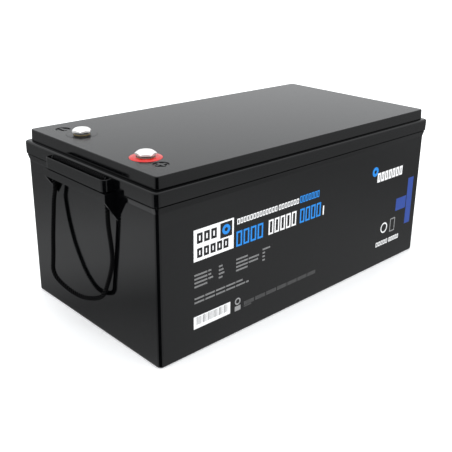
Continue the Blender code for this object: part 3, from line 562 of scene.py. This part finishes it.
def make_dark_card():
    """Curved black card on the camera's side of the room, which the near corners reflect."""
    middle = math.atan2(TOWARD_CAMERA[1], TOWARD_CAMERA[0])
    half, steps = math.radians(CARD_HALF_ANGLE), 24
    shape = bmesh.new()
    columns = []
    for step in range(steps + 1):
        angle = middle - half + 2 * half * step / steps
        x, y = CARD_DISTANCE * math.cos(angle), CARD_DISTANCE * math.sin(angle)
        columns.append([shape.verts.new((x, y, z)) for z in (CARD_LOW, CARD_HIGH)])
    for near, far in zip(columns, columns[1:]):
        shape.faces.new((near[0], far[0], far[1], near[1]))
    card = from_bmesh("dark_card", shape)
    material = new_material("card_black", base_color=(0.0, 0.0, 0.0), roughness=1.0,
                            specular_ior_level=0.0)[0]
    card.data.materials.append(material)
    card.visible_camera = False
    card.visible_diffuse = False
    card.visible_shadow = False


def along(vector, direction):
    made = fed("ShaderNodeVectorMath", 0, vector, operation="DOT_PRODUCT")
    made.inputs[1].default_value = direction
    return made.outputs["Value"]


def tone_curve(height, tones):
    """Brightness read from (sine of the elevation, brightness) pairs."""
    curve = fed("ShaderNodeValToRGB", "Fac", ramp(height, -1.0, 1.0))
    elements = curve.color_ramp.elements
    while len(elements) < len(tones):
        elements.new(0.5)
    for element, (sine, brightness) in zip(elements, tones):
        element.position = (sine + 1) / 2
        element.color = (*[brightness / PANEL_SCALE] * 3, 1.0)
    return math_node("MULTIPLY", curve.outputs["Color"], PANEL_SCALE)


def make_world():
    """White room: brightest overhead, with side panels that darken downward and to the back."""
    world = bpy.data.worlds.new("studio")
    world.use_nodes = True
    tree = world.node_tree
    background = tree.nodes["Background"]
    direction = tree.nodes.new("ShaderNodeTexCoord").outputs["Generated"]
    height = component(direction, "Z")
    to_left = ramp(along(direction, TOWARD_LEFT), -0.15, 0.15)
    sides = fed("ShaderNodeMix", "Factor", to_left, data_type="FLOAT")
    tree.links.new(tone_curve(height, RIGHT_TONES), sides.inputs[2])
    tree.links.new(tone_curve(height, LEFT_TONES), sides.inputs[3])
    to_camera = ramp(along(direction, TOWARD_CAMERA), *PANEL_TURN)
    panels = math_node("MULTIPLY", sides.outputs[0], to_camera)
    ceiling = math_node("MULTIPLY", ramp(height, *CEILING_EDGE), ramp(height, *CEILING_TOP))
    share = ramp(height, *CEILING_SHARE)
    low = math_node("MULTIPLY", panels, math_node("SUBTRACT", 1.0, share))
    tree.links.new(math_node("ADD", low, math_node("MULTIPLY", ceiling, share)),
                   background.inputs["Strength"])
    background.inputs["Color"].default_value = (*ROOM_TINT, 1.0)
    bpy.context.scene.world = world


# ---- housing ----
def profile_rings(half_x, half_y, corner, profile):
    """Rings for a profile of (inset, height) points around a rounded rectangle."""
    return [(rounded_rectangle(half_x - inset, half_y - inset, max(0.0008, corner - inset)), height)
            for inset, height in profile]


def make_case(material):
    edge = 0.0003
    outer = [(FLOOR_EDGE, 0.0)]
    outer += arc((FLOOR_EDGE, FLOOR_EDGE), FLOOR_EDGE, 270, 180)[1:]
    outer += [(0.0, 0.060), (0.0, 0.120), (0.0, FLARE_START - 0.0012), (-0.0002, FLARE_START),
              (-0.0006, FLARE_START + 0.0012), (-FLARE_OUT + 0.00005, CASE_TOP - 0.0008)]
    outer += arc((-FLARE_OUT + edge, CASE_TOP - edge), edge, 180, 90, 3)
    rings = profile_rings(WALL_X, WALL_Y, WALL_CORNER, outer)
    inner = rounded_rectangle(WALL_X - WALL_THICKNESS, WALL_Y - WALL_THICKNESS, 0.0030)
    rings += [(inner, CASE_TOP), (inner, WALL_THICKNESS)]
    case = loft("case_shell", rings)
    joins, cuts = [], []
    for end in (-1, 1):
        inside = WALL_X - 0.0020
        low_x, high_x = sorted((end * inside, end * BRACKET_X))
        joins.append(block(f"band_{end}", (low_x, -BAND_Y, BAND_BOTTOM), (high_x, BAND_Y, CASE_TOP),
                           0.0005))
        slope = [(end * inside, BAND_BOTTOM + 0.0030), (end * (BRACKET_X - 0.00002), BAND_BOTTOM + 0.0030),
                 (end * (BRACKET_X - 0.00002), BAND_BOTTOM), (end * WALL_X, GUSSET_BOTTOM),
                 (end * inside, GUSSET_BOTTOM)]
        for side in (-1, 1):
            faces = sorted((side * (BAND_Y - 0.00002), side * (BAND_Y - GUSSET_THICKNESS)))
            joins.append(prism_y(f"gusset_{end}_{side}", slope, *faces, bevel=0.0003))
            cuts.append(turned(f"band_hole_{end}_{side}",
                               [(ROPE_HOLE_RADIUS + 0.0006, BAND_BOTTOM - 0.0010),
                                (ROPE_HOLE_RADIUS + 0.0006, BAND_BOTTOM),
                                (ROPE_HOLE_RADIUS, BAND_BOTTOM + 0.0006),
                                (ROPE_HOLE_RADIUS, CASE_TOP + 0.001)],
                               (end * ROPE_X, side * ROPE_Y), segments=40))
    combine(case, joins, "UNION")
    combine(case, cuts, "DIFFERENCE")
    return place(smooth(case), "housing", material, "case", slot="housing_black")


def make_lid(material):
    tongue_x, tongue_y = WALL_X - WALL_THICKNESS - GAP, WALL_Y - WALL_THICKNESS - GAP
    inner = rounded_rectangle(tongue_x - TONGUE_THICKNESS, tongue_y - TONGUE_THICKNESS, 0.0015)
    tongue = rounded_rectangle(tongue_x, tongue_y, 0.0028)
    rings = [(inner, DECK_BOTTOM), (inner, TONGUE_BOTTOM), (tongue, TONGUE_BOTTOM),
             (tongue, RIM_BOTTOM)]
    edge = 0.0003
    outer = [(SEAM_DEPTH, RIM_BOTTOM), (SEAM_DEPTH, RIM_BOTTOM + SEAM_HEIGHT)]
    outer += arc((edge, RIM_BOTTOM + SEAM_HEIGHT + edge), edge, 270, 180, 3)
    outer += arc((LEDGE_ROUND_OUT, LEDGE_TOP - LEDGE_ROUND_DOWN), LEDGE_ROUND_OUT, 180, 90, 12,
                 LEDGE_ROUND_DOWN)
    rings += profile_rings(RIM_X, RIM_Y, RIM_CORNER, outer)
    deck = rounded_rectangle(COVER_X - 0.0035, COVER_Y - 0.0035, 0.0020)
    rings += [(deck, LEDGE_TOP), (deck, DECK_TOP)]
    lid = loft("lid_shell", rings)
    joins, cuts = [], []
    for end in (-1, 1):
        joins.append(make_bracket_block(end))
        slot_half = (ROPE_Y + ROPE_HOLE_RADIUS - SLOT_INNER_Y) / 2
        for side in (-1, 1):
            cuts.append(turned(f"block_hole_{end}_{side}",
                               [(ROPE_HOLE_RADIUS, RIM_BOTTOM - 0.001),
                                (ROPE_HOLE_RADIUS, SLOT_BOTTOM + 0.001)],
                               (end * ROPE_X, side * ROPE_Y), segments=40))
            outline = rounded_rectangle(ROPE_HOLE_RADIUS + 0.0001, slot_half, 0.0030)
            cuts.append(loft(f"slot_{end}_{side}",
                             [(outline, SLOT_BOTTOM), (outline, TROUGH_FLOOR + 0.001)],
                             centre=(end * ROPE_X, side * (SLOT_INNER_Y + slot_half))))
    for side in (-1, 1):
        profile = [(DECK_HOLE_RADIUS, DECK_BOTTOM - 0.001), (DECK_HOLE_RADIUS, DECK_TOP + 0.001)]
        cuts.append(turned(f"deck_hole_{side}", profile, (-POST_X, side * POST_Y), segments=64))
    combine(lid, joins, "UNION")
    combine(lid, cuts, "DIFFERENCE")
    return place(smooth(lid), "housing", material, "lid", slot="housing_black")


def make_bracket_block(end):
    """Upper block of a bracket: rounded outer corners and a trough with rounded lips."""
    inside = RIM_X - 0.0040
    middle = (inside + BRACKET_X) / 2
    half = (BRACKET_X - inside) / 2
    trough_middle = (TROUGH_INNER_X + TROUGH_OUTER_X) / 2
    trough_half = (TROUGH_OUTER_X - TROUGH_INNER_X) / 2

    def outer(inset, height):
        outline = [(x + middle, y) for x, y in rounded_rectangle(half - inset, BLOCK_Y - inset,
                                                                 BLOCK_CORNER - inset)]
        return [(x if x > middle else inside, y) for x, y in outline], height

    def inner(grow, height):
        outline = rounded_rectangle(trough_half + grow, TROUGH_Y + grow, 0.0045 + grow)
        return [(x + trough_middle, y) for x, y in outline], height

    lip, foot = 0.0006, 0.0008
    rings = [outer(SEAM_DEPTH, RIM_BOTTOM), outer(SEAM_DEPTH, RIM_BOTTOM + SEAM_HEIGHT)]
    rings += [outer(*p) for p in arc((0.0003, RIM_BOTTOM + SEAM_HEIGHT + 0.0003), 0.0003, 270, 180, 3)]
    rings += [outer(*p) for p in arc((lip, BLOCK_TOP - lip), lip, 180, 90, 6)]
    rings += [inner(*p) for p in reversed(arc((0.0, BLOCK_TOP - 0.0004), 0.0004, 0, 90, 4))]
    rings += [inner(-p[0], p[1]) for p in arc((foot, TROUGH_FLOOR + foot), foot, 180, 270, 5)]
    rings = [([(end * x, y) for x, y in outline], height) for outline, height in rings]
    return loft(f"bracket_block_{end}", rings)


def make_cover(material):
    inner = rounded_rectangle(COVER_X - COVER_WALL, COVER_Y - COVER_WALL, 0.0010)
    rings = [(inner, COVER_TOP - COVER_WALL), (inner, COVER_BOTTOM)]
    outer = [(-COVER_DRAFT + 0.0002, COVER_BOTTOM), (-COVER_DRAFT, COVER_BOTTOM + 0.0002)]
    outer += arc((COVER_EDGE, COVER_TOP - COVER_EDGE), COVER_EDGE, 180, 90)
    rings += profile_rings(COVER_X, COVER_Y, COVER_CORNER, outer)
    cover = loft("cover_shell", rings)
    cuts = []
    for side in (-1, 1):
        centre = (-POST_X, side * POST_Y)
        profile = [(POST_HOLE_RADIUS, COVER_TOP - COVER_WALL - 0.001),
                   (POST_HOLE_RADIUS, COVER_TOP + 0.001)]
        cuts.append(turned(f"post_hole_{side}", profile, centre))
        cuts.append(turned(f"recess_{side}",
                           [(RECESS_RADIUS - 0.0003, COVER_TOP - RECESS_DEPTH),
                            (RECESS_RADIUS, COVER_TOP - RECESS_DEPTH + 0.0003),
                            (RECESS_RADIUS, COVER_TOP - 0.0003),
                            (RECESS_RADIUS + 0.0004, COVER_TOP + 0.0001)], centre))
    combine(cover, cuts, "DIFFERENCE")
    sink_mark(cover, PLUS_AT, True)
    sink_mark(cover, MINUS_AT, False)
    return place(smooth(cover), "housing", material, "top_cover", slot="housing_black")


def sink_mark(cover, centre, crossed):
    """Polarity mark: a round pocket with a raised bar, crossed by a second one for plus."""
    low, high, lip = COVER_TOP - MARK_DEPTH, COVER_TOP - 0.00005, 0.0002
    profile = [(MARK_RADIUS - lip, low), (MARK_RADIUS, low + lip), (MARK_RADIUS, COVER_TOP - lip),
               (MARK_RADIUS + 2 * lip, COVER_TOP + lip)]
    combine(cover, [turned("mark_pocket", profile, centre, segments=72)], "DIFFERENCE")
    bars = [(MARK_HALF_WIDTH, MARK_ARM)]
    if crossed:
        bars.append((MARK_ARM, MARK_HALF_WIDTH))
    for index, (half_x, half_y) in enumerate(bars):
        step = 0.00003 * index
        rings = [(rounded_rectangle(half_x, half_y, 0.0005, 3), low - 0.0005 - step),
                 (rounded_rectangle(half_x, half_y, 0.0005, 3), high - lip - step),
                 (rounded_rectangle(half_x - lip, half_y - lip, 0.0003, 3), high - step)]
        combine(cover, [loft(f"mark_bar_{index}", rings, centre=centre)], "UNION")


# ---- ropes ----
def smooth_route(route, spacing):
    """Evenly spaced points on a Catmull-Rom curve through the route's points."""
    points = [Vector(point) for point in route]
    ends = [2 * points[0] - points[1]] + points + [2 * points[-1] - points[-2]]
    fine = []
    for a, b, c, d in zip(ends, ends[1:], ends[2:], ends[3:]):
        for step in range(24):
            t = step / 24
            fine.append(0.5 * (2 * b + (c - a) * t + (2 * a - 5 * b + 4 * c - d) * t ** 2
                               + (3 * b - a - 3 * c + d) * t ** 3))
    fine.append(points[-1])
    lengths = [0.0]
    for a, b in zip(fine, fine[1:]):
        lengths.append(lengths[-1] + (b - a).length)
    count = max(2, round(lengths[-1] / spacing))
    even, index = [], 0
    for step in range(count + 1):
        goal = lengths[-1] * step / count
        while index < len(fine) - 2 and lengths[index + 1] < goal:
            index += 1
        share = (goal - lengths[index]) / max(1e-9, lengths[index + 1] - lengths[index])
        even.append(fine[index].lerp(fine[index + 1], min(1.0, share)))
    return even


def strand_outline(count=42):
    """Three touching strands in section: (angle, radius) points for a unit rope."""
    strand = 1 / (1 + 2 / math.sqrt(3))
    offset = 1 - strand
    points = []
    for step in range(count):
        angle = 2 * math.pi * step / count
        near = (angle + math.pi / 3) % (2 * math.pi / 3) - math.pi / 3
        reach = offset * math.cos(near) + math.sqrt(max(0, strand ** 2 - (offset * math.sin(near)) ** 2))
        yarn = 1 + 0.012 * math.cos(9 * near * 3)
        points.append((angle, reach * yarn))
    return points


def make_twisted_rope(name, points):
    """Three-strand rope as one closed tube whose lobed section turns along the way."""
    shape = bmesh.new()
    outline = strand_outline()
    count = len(outline)
    tangent = (points[1] - points[0]).normalized()
    side = tangent.orthogonal().normalized()
    if abs(tangent.z) > 0.9:
        side = (Vector((1, 0, 0)) - tangent * tangent.x).normalized()
    rings, travelled = [], 0.0
    uv = shape.loops.layers.uv.new("rope")
    for index, point in enumerate(points):
        ahead = points[min(index + 1, len(points) - 1)] - points[max(index - 1, 0)]
        fresh = ahead.normalized()
        side = (tangent.rotation_difference(fresh) @ side).normalized()
        tangent = fresh
        across = tangent.cross(side)
        if index:
            travelled += (point - points[index - 1]).length
        turn = 2 * math.pi * travelled / TWIST_PITCH
        ring = []
        for angle, reach in outline:
            offset = side * math.cos(angle + turn) + across * math.sin(angle + turn)
            ring.append(shape.verts.new(point + offset * reach * STRAND_SWELL * ROPE_RADIUS))
        rings.append((ring, travelled))
    shape.faces.new(rings[0][0])
    shape.faces.new(rings[-1][0])
    for (low, low_at), (high, high_at) in zip(rings, rings[1:]):
        for i in range(count):
            j = (i + 1) % count
            face = shape.faces.new((low[i], low[j], high[j], high[i]))
            corners = ((i, low_at), (i + 1, low_at), (i + 1, high_at), (i, high_at))
            for loop, (around, reached) in zip(face.loops, corners):
                loop[uv].uv = (around / count * 3, reached * 1000)
    obj = from_bmesh(name, shape)
    obj.data.shade_smooth()
    return obj


def turned_to(end, line):
    """The front rope's line, turned half round for the rear end."""
    return [Vector((-end * p.x, -end * p.y, p.z)) for p in line]


def make_ropes(material):
    """Hanging loop and lying run at each end."""
    step = 0.0007                      # between the rings of a rope
    down = [(-ROPE_X, ROPE_Y, HINGE_Z), (-ROPE_X, ROPE_Y, HINGE_Z - 0.006)]
    up = [(x, -y, z) for x, y, z in reversed(down)]
    loop_line = smooth_route(down + HANDLE_ROUTE + up, step)
    run_line = [(-ROPE_X, ROPE_Y, BAND_BOTTOM), (-ROPE_X, ROPE_Y, 0.1880)]
    for index in range(7):
        angle = math.radians(15 * index)
        run_line.append((-ROPE_X, ROPE_Y - ROPE_BEND * (1 - math.cos(angle)),
                         ROPE_TOP - ROPE_BEND * (1 - math.sin(angle))))
    run_line.append((-ROPE_X, ROPE_Y / 3, ROPE_TOP))
    run_line += [(x, -y, z) for x, y, z in reversed(run_line)]
    run_line = smooth_route(run_line, step)
    for end, name in ((-1, "front"), (1, "rear")):
        path = turned_to(end, loop_line)
        loop = make_twisted_rope(f"{name}_handle_rope", path)
        place(loop, f"{name}_handle", material, f"{name}_rope_loop", slot="rope_black")
        run = make_twisted_rope(f"{name}_bracket_rope", turned_to(end, run_line))
        place(run, "housing", material, f"{name}_rope_run", slot="rope_black")


# ---- terminals ----
def hexagon(limit, turn, segments=72):
    """Hexagon with its corners HEAD_RADIUS out, cut back to a circle of radius limit."""
    points = []
    for step in range(segments):
        angle = 2 * math.pi * step / segments
        from_corner = (angle + math.pi / 6) % (math.pi / 3) - math.pi / 6
        flat = HEAD_RADIUS * math.cos(math.pi / 6) / math.cos(math.pi / 6 - abs(from_corner))
        radius = min(limit, flat)
        angle += math.radians(turn)
        points.append((radius * math.cos(angle), radius * math.sin(angle)))
    return points


def make_bolt(side, centre, material):
    """Threaded shank under a hexagon head with a chamfered top and a shallow dimple."""
    name = f"{side}_bolt"
    low, high = heights(name)
    head, segments = high - HEAD_HEIGHT, 72
    root = SHANK_RADIUS - THREAD_DEPTH
    shank = [(root - 0.0005, low), (root, low + 0.0006)]
    turns = int((head - low - 0.0030) / THREAD_PITCH)
    for turn in range(turns):
        base = low + 0.0006 + turn * THREAD_PITCH
        shank += [(SHANK_RADIUS, base + 0.45 * THREAD_PITCH),
                  (SHANK_RADIUS, base + 0.55 * THREAD_PITCH), (root, base + THREAD_PITCH)]
    turn, lip = HEAD_TURN[side], 0.0002
    rings = circles(shank + [(root, head)], segments)
    rings += [(hexagon(HEAD_RADIUS - lip, turn), head), (hexagon(HEAD_RADIUS, turn), head + lip)]
    steps = 8
    for step in range(steps + 1):
        share = step / steps
        limit = HEAD_RADIUS + (HEAD_CHAMFER_RADIUS - HEAD_RADIUS) * share
        rings.append((hexagon(limit, turn), high - HEAD_CHAMFER_DROP * (1 - share)))
    rings += circles([(DIMPLE_RADIUS + 0.0001, high), (DIMPLE_RADIUS - 0.0002, high - 0.0001),
                      (DIMPLE_RADIUS - 0.0006, high - 0.0003)], segments)
    bolt = loft(f"{name}_piece", rings, centre=centre)
    return place(smooth(bolt, 20.0), name, material, name, slot="nickel_plate")


def make_collar(side, centre, material, top):
    """Flat ring in the cover's recess, its upper edge sloping down to the cover."""
    name = f"{side}_collar"
    low = heights(name)[0]
    bore, radius, flat = COLLAR_BORE, COLLAR_RADIUS, COLLAR_RADIUS - COLLAR_SLOPE
    profile = [(bore, low), (radius - 0.0001, low), (radius, low + 0.0001), (radius, COVER_TOP + 0.0001)]
    profile += [(radius - 0.0001, COVER_TOP + 0.0002), (flat, top - 0.0001), (flat - 0.0002, top),
                (bore + 0.0003, top), (bore, top - 0.0003)]
    slot = "collar_red" if side == "positive" else "collar_black"
    turned_piece(name, profile, centre, "housing", material, slot, angle=40.0)


def make_flat_washer(side, centre, material):
    name = f"{side}_flat_washer"
    low, high = heights(name)
    inner, outer, edge = 0.0043, 0.0095, 0.0002
    profile = [(inner, low + edge), (inner + edge, low), (outer - edge, low), (outer, low + edge),
               (outer, high - edge), (outer - edge, high), (inner + edge, high), (inner, high - edge)]
    turned_piece(name, profile, centre, f"{side}_washers", material, "steel")


def make_spring_washer(side, centre, material):
    """Split ring of rounded section, its two ends lifted apart."""
    name = f"{side}_spring_washer"
    low, high = heights(name)
    inner, outer, rise, edge = 0.0044, 0.0074, 0.0002, 0.00015
    thickness = high - low - rise
    section = [(inner + edge, 0), (outer - edge, 0), (outer, edge), (outer, thickness - edge),
               (outer - edge, thickness), (inner + edge, thickness), (inner, thickness - edge),
               (inner, edge)]
    shape = bmesh.new()
    rings, steps = [], 86
    for step in range(steps + 1):
        angle = math.radians(8 + 344 * step / steps)
        base = low + rise * step / steps
        rings.append([shape.verts.new((centre[0] + radius * math.cos(angle),
                                       centre[1] + radius * math.sin(angle), base + height))
                      for radius, height in section])
    skin(shape, rings)
    place(smooth(from_bmesh(f"{name}_piece", shape)), f"{side}_washers", material, name, slot="steel")


def make_insert(side, centre, material):
    """Brass insert: foot, flange, and a post with a threaded blind hole."""
    name = f"{side}_insert"
    low, high = heights(name)
    post, flange, flange_low, flange_high = 0.0098, 0.0130, 0.1960, 0.1997
    hole, hole_bottom, edge = 0.0039, 0.2050, 0.0004
    foot = 0.0060
    profile = [(foot - 0.0010, low), (foot, low + 0.0008), (foot, flange_low),
               (flange - 0.0002, flange_low), (flange, flange_low + 0.0002),
               (flange, flange_high - 0.0002), (flange - 0.0002, flange_high), (post, flange_high),
               (post, high - edge), (post - edge, high), (hole + edge, high)]
    turns = int((high - edge - hole_bottom) / THREAD_PITCH)
    for turn in range(turns):
        base = high - edge - turn * THREAD_PITCH
        profile += [(hole, base), (hole + 0.0004, base - 0.5 * THREAD_PITCH)]
    profile += [(hole, hole_bottom), (0.0020, hole_bottom - 0.0015)]
    turned_piece(name, profile, centre, "housing", material, "brass", closed=False)


def make_post_seal(side, centre, material):
    name = f"{side}_post_seal"
    low, high = heights(name)
    inner, outer, round_edge = 0.0101, 0.0140, 0.0008
    profile = [(inner, low), (outer - 0.0002, low), (outer, low + 0.0002)]
    profile += arc((outer - round_edge, high - round_edge), round_edge, 0, 90, 6)
    profile += [(inner + 0.0002, high), (inner, high - 0.0002)]
    turned_piece(name, profile, centre, "housing", material, "seal_rubber")


# ---- label ----
def make_label(film):
    """Printed film with a rounded outline, laid close on the wall."""
    low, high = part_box("side_label")
    middle, half_x = (low.z + high.z) / 2, (high.x - low.x) / 2
    back, corner, edge = -WALL_Y + 0.0001, 0.0030, 0.00004
    shape = bmesh.new()
    rings = []
    for inset, y in ((0.0, back), (0.0, FILM_FACE + edge), (edge, FILM_FACE)):
        outline = rounded_rectangle(half_x - inset, (high.z - low.z) / 2 - inset, corner - inset)
        rings.append([shape.verts.new((x, y, z + middle)) for x, z in outline])
    skin(shape, rings)
    place(from_bmesh("label_film", shape), "housing", film, "side_label", slot="label_film")


def print_marks(name, marks, material, lift=1.0):
    """One closed thin block per (left, right, bottom, top) mark, sunk into the film."""
    shape = bmesh.new()
    for left, right, bottom, top in marks:
        corners = [[shape.verts.new((x, y, z)) for x, z in
                    ((left, bottom), (right, bottom), (right, top), (left, top))]
                   for y in (FILM_FACE + PRINT_HEIGHT, FILM_FACE - lift * PRINT_HEIGHT)]
        skin(shape, corners)
    return place(from_bmesh(name, shape), "housing", material)


def ring_mark(name, ring, material, lift=1.0):
    """Printed ring of (centre, radius, inner radius)."""
    centre, outer, inner = ring
    back, front = FILM_FACE + PRINT_HEIGHT, FILM_FACE - lift * PRINT_HEIGHT
    shape = bmesh.new()
    section = ((outer, back), (outer, front), (inner, front), (inner, back))
    skin(shape, [[shape.verts.new((centre[0] + x, y, centre[1] + z)) for x, z in circle(radius, 40)]
                 for radius, y in section], closed=True)
    return place(from_bmesh(name, shape), "housing", material)


def strokes(area, stroke, word):
    """Upright strokes that fill an area like a line of small print, in groups of word - 1."""
    left, right, bottom, top = area
    width, share = stroke
    step = width / share
    count = int((right - left + step - width) / step)
    return [(left + index * step, left + index * step + width, bottom, top)
            for index in range(count) if index % word != word - 1]


def outline(area, line):
    """Four bars around an area."""
    left, right, bottom, top = area
    return [(left, left + line, bottom, top), (right - line, right, bottom, top),
            (left + line, right - line, bottom, bottom + line),
            (left + line, right - line, top - line, top)]


def blank_characters(area, count, line):
    """Row of hollow boxes, one in place of each large printed character."""
    left, right, bottom, top = area
    step = (right - left) / count
    marks = []
    for index in range(count):
        start = left + index * step
        marks += outline((start, start + BOX_SHARE * step, bottom, top), line)
    return marks


def small_print():
    """Strokes of the table and of the notes under it."""
    rows = []
    for row in range(TABLE_ROWS):
        bottom = TABLE_TOP - row * TABLE_PITCH - TABLE_LINE
        for left, widths in TABLE_COLUMNS:
            area = (left, left + widths[row], bottom, bottom + TABLE_LINE)
            rows += strokes(area, SMALL_STROKE, TABLE_WORD)
    for left, right, top in NOTE_LINES:
        rows += strokes((left, right, top - TABLE_LINE, top), SMALL_STROKE, NOTE_WORD)
    return rows


def stripes():
    """Upright stripes of four widths on the pale patch."""
    left, right, bottom, top = STRIPE_PATCH
    marks = []
    for index in range(STRIPES):
        start = left + STRIPE_MARGIN + index * (right - left - 2 * STRIPE_MARGIN) / STRIPES
        width = STRIPE_WIDTH + STRIPE_EXTRA * (index * 7 % 4) / 3
        marks.append((start, start + width, bottom + STRIPE_FOOT, top - STRIPE_HEAD))
    return marks


def make_print(inks):
    """Generic print: boxes, strokes, rings and stripes where the label carries words and signs."""
    white, grey, blue, ink = (inks[name] for name in ("white", "grey", "blue", "ink"))
    boxes = blank_characters
    print_marks("print_panel", [PANEL], white)
    print_marks("print_panel_square", [PANEL_SQUARE], ink, OVERPRINT)
    ring_mark("print_panel_ring", PANEL_RING, blue, TOP_PRINT)
    print_marks("print_panel_upper", boxes(*PANEL_UPPER), ink, OVERPRINT)
    print_marks("print_panel_lower", boxes(*PANEL_LOWER), ink, OVERPRINT)
    print_marks("print_title", boxes(*TITLE_FIRST) + boxes(*TITLE_SECOND), white)
    print_marks("print_title_end", boxes(*TITLE_END), blue)
    print_marks("print_rating_blue", boxes(*RATING_FIRST) + boxes(*RATING_THIRD), blue)
    print_marks("print_rating_white", boxes(*RATING_SECOND) + [RATING_END], white)
    print_marks("print_table", small_print(), grey)
    fine = [strokes(area, FINE_STROKE, FINE_WORD) for area in (FINE_PRINT, FINE_PRINT_END)]
    print_marks("print_fine", fine[0] + fine[1], inks["dim"])
    print_marks("print_stripe_patch", [STRIPE_PATCH], white)
    print_marks("print_stripes", stripes(), ink, OVERPRINT)
    ring_mark("print_sign_ring", SIGN_RING, grey)
    print_marks("print_sign_square", [SIGN_SQUARE], grey)
    ring_mark("print_corner_ring", CORNER_RING, blue)
    print_marks("print_corner_word", boxes(*CORNER_WORD), white)
    print_marks("print_band", [BAND_UPRIGHT, BAND_TILE], inks["deep_blue"])
    ring_mark("print_care_ring", CARE_RING, white)
    print_marks("print_care_frame", outline(CARE_FRAME, FRAME_LINE), grey)
    print_marks("print_code", boxes(*CODE_FIRST) + boxes(*CODE_SECOND), white)


# ---- pieces inside the housing ----
def dress_inside(materials):
    """Materials and rounded edges for the CAD pieces that are kept."""
    for name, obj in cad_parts.items():
        if obj.hide_render:
            continue
        kind = next(key for key in materials if key in name)
        obj.data.materials.clear()
        obj.data.materials.append(materials[kind])
        if kind not in NO_BEVEL:
            bevel = obj.modifiers.new("rounded_edges", "BEVEL")
            bevel.width, bevel.segments = 0.0002, 2
            bevel.limit_method, bevel.angle_limit = "ANGLE", math.radians(40)
            bevel.harden_normals = False


# ---- build ----
def main():
    make_camera()
    make_studio()
    make_ropes(rope_material("rope_polyester", (0.0010, 0.0010, 0.0011)))
    housing = gloss_plastic("housing_gloss", HOUSING_COLOUR, 0.07)
    make_case(housing)
    make_lid(housing)
    cover = gloss_plastic("cover_gloss", HOUSING_COLOUR, 0.07, 0.15)
    make_cover(cover)
    nickel = metal("nickel_plate", (0.93, 0.92, 0.90), 0.36, 0.75)
    steel = metal("zinc_steel", (0.42, 0.42, 0.41), 0.38)
    brass = metal("dull_brass", (0.36, 0.28, 0.14), 0.50)
    aluminium = metal("rolled_aluminium", (0.70, 0.71, 0.72), 0.35)
    rubber = soft_rubber("seal_rubber", (0.02, 0.02, 0.02), 0.65)
    red = satin_plastic("collar_red", (0.60, 0.006, 0.003), 0.24)
    for side, sign in (("positive", -1), ("negative", 1)):
        centre = (-POST_X, sign * POST_Y)
        make_bolt(side, centre, nickel)
        if side == "positive":
            make_collar(side, centre, red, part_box("positive_collar")[1].z)
        else:
            make_collar(side, centre, cover, COVER_TOP + BLACK_COLLAR_LIFT)
        make_flat_washer(side, centre, steel)
        make_spring_washer(side, centre, steel)
        make_insert(side, centre, brass)
        make_post_seal(side, centre, rubber)
    make_label(gloss_plastic("label_film", HOUSING_COLOUR, 0.12))
    make_print({name: printed_ink(f"print_{name}", colour) for name, colour in INKS.items()})
    dress_inside({
        "insulation_board": satin_plastic("glass_epoxy", (0.75, 0.72, 0.55), 0.50),
        "cell_insulation": satin_plastic("insulation_sheet", (0.85, 0.83, 0.76), 0.60),
        "cell_": wrapped_film("cell_film", (0.05, 0.16, 0.42), 0.30),
        "busbar": aluminium, "plate": aluminium, "heat_sink": aluminium,
        "strap": steel, "foam": foam("closed_cell_foam", (0.10, 0.10, 0.11)),
        "floor_pad": foam("floor_pad_foam", (0.08, 0.08, 0.09)),
        "seal": rubber, "management_board": circuit_board("solder_mask", (0.02, 0.20, 0.09)),
        "sense_connector": satin_plastic("nylon_white", (0.85, 0.84, 0.80), 0.45),
        "positive_lead": soft_rubber("lead_red", (0.62, 0.02, 0.012), 0.45),
        "lead": soft_rubber("lead_black", (0.02, 0.02, 0.02), 0.45),
    })


main()
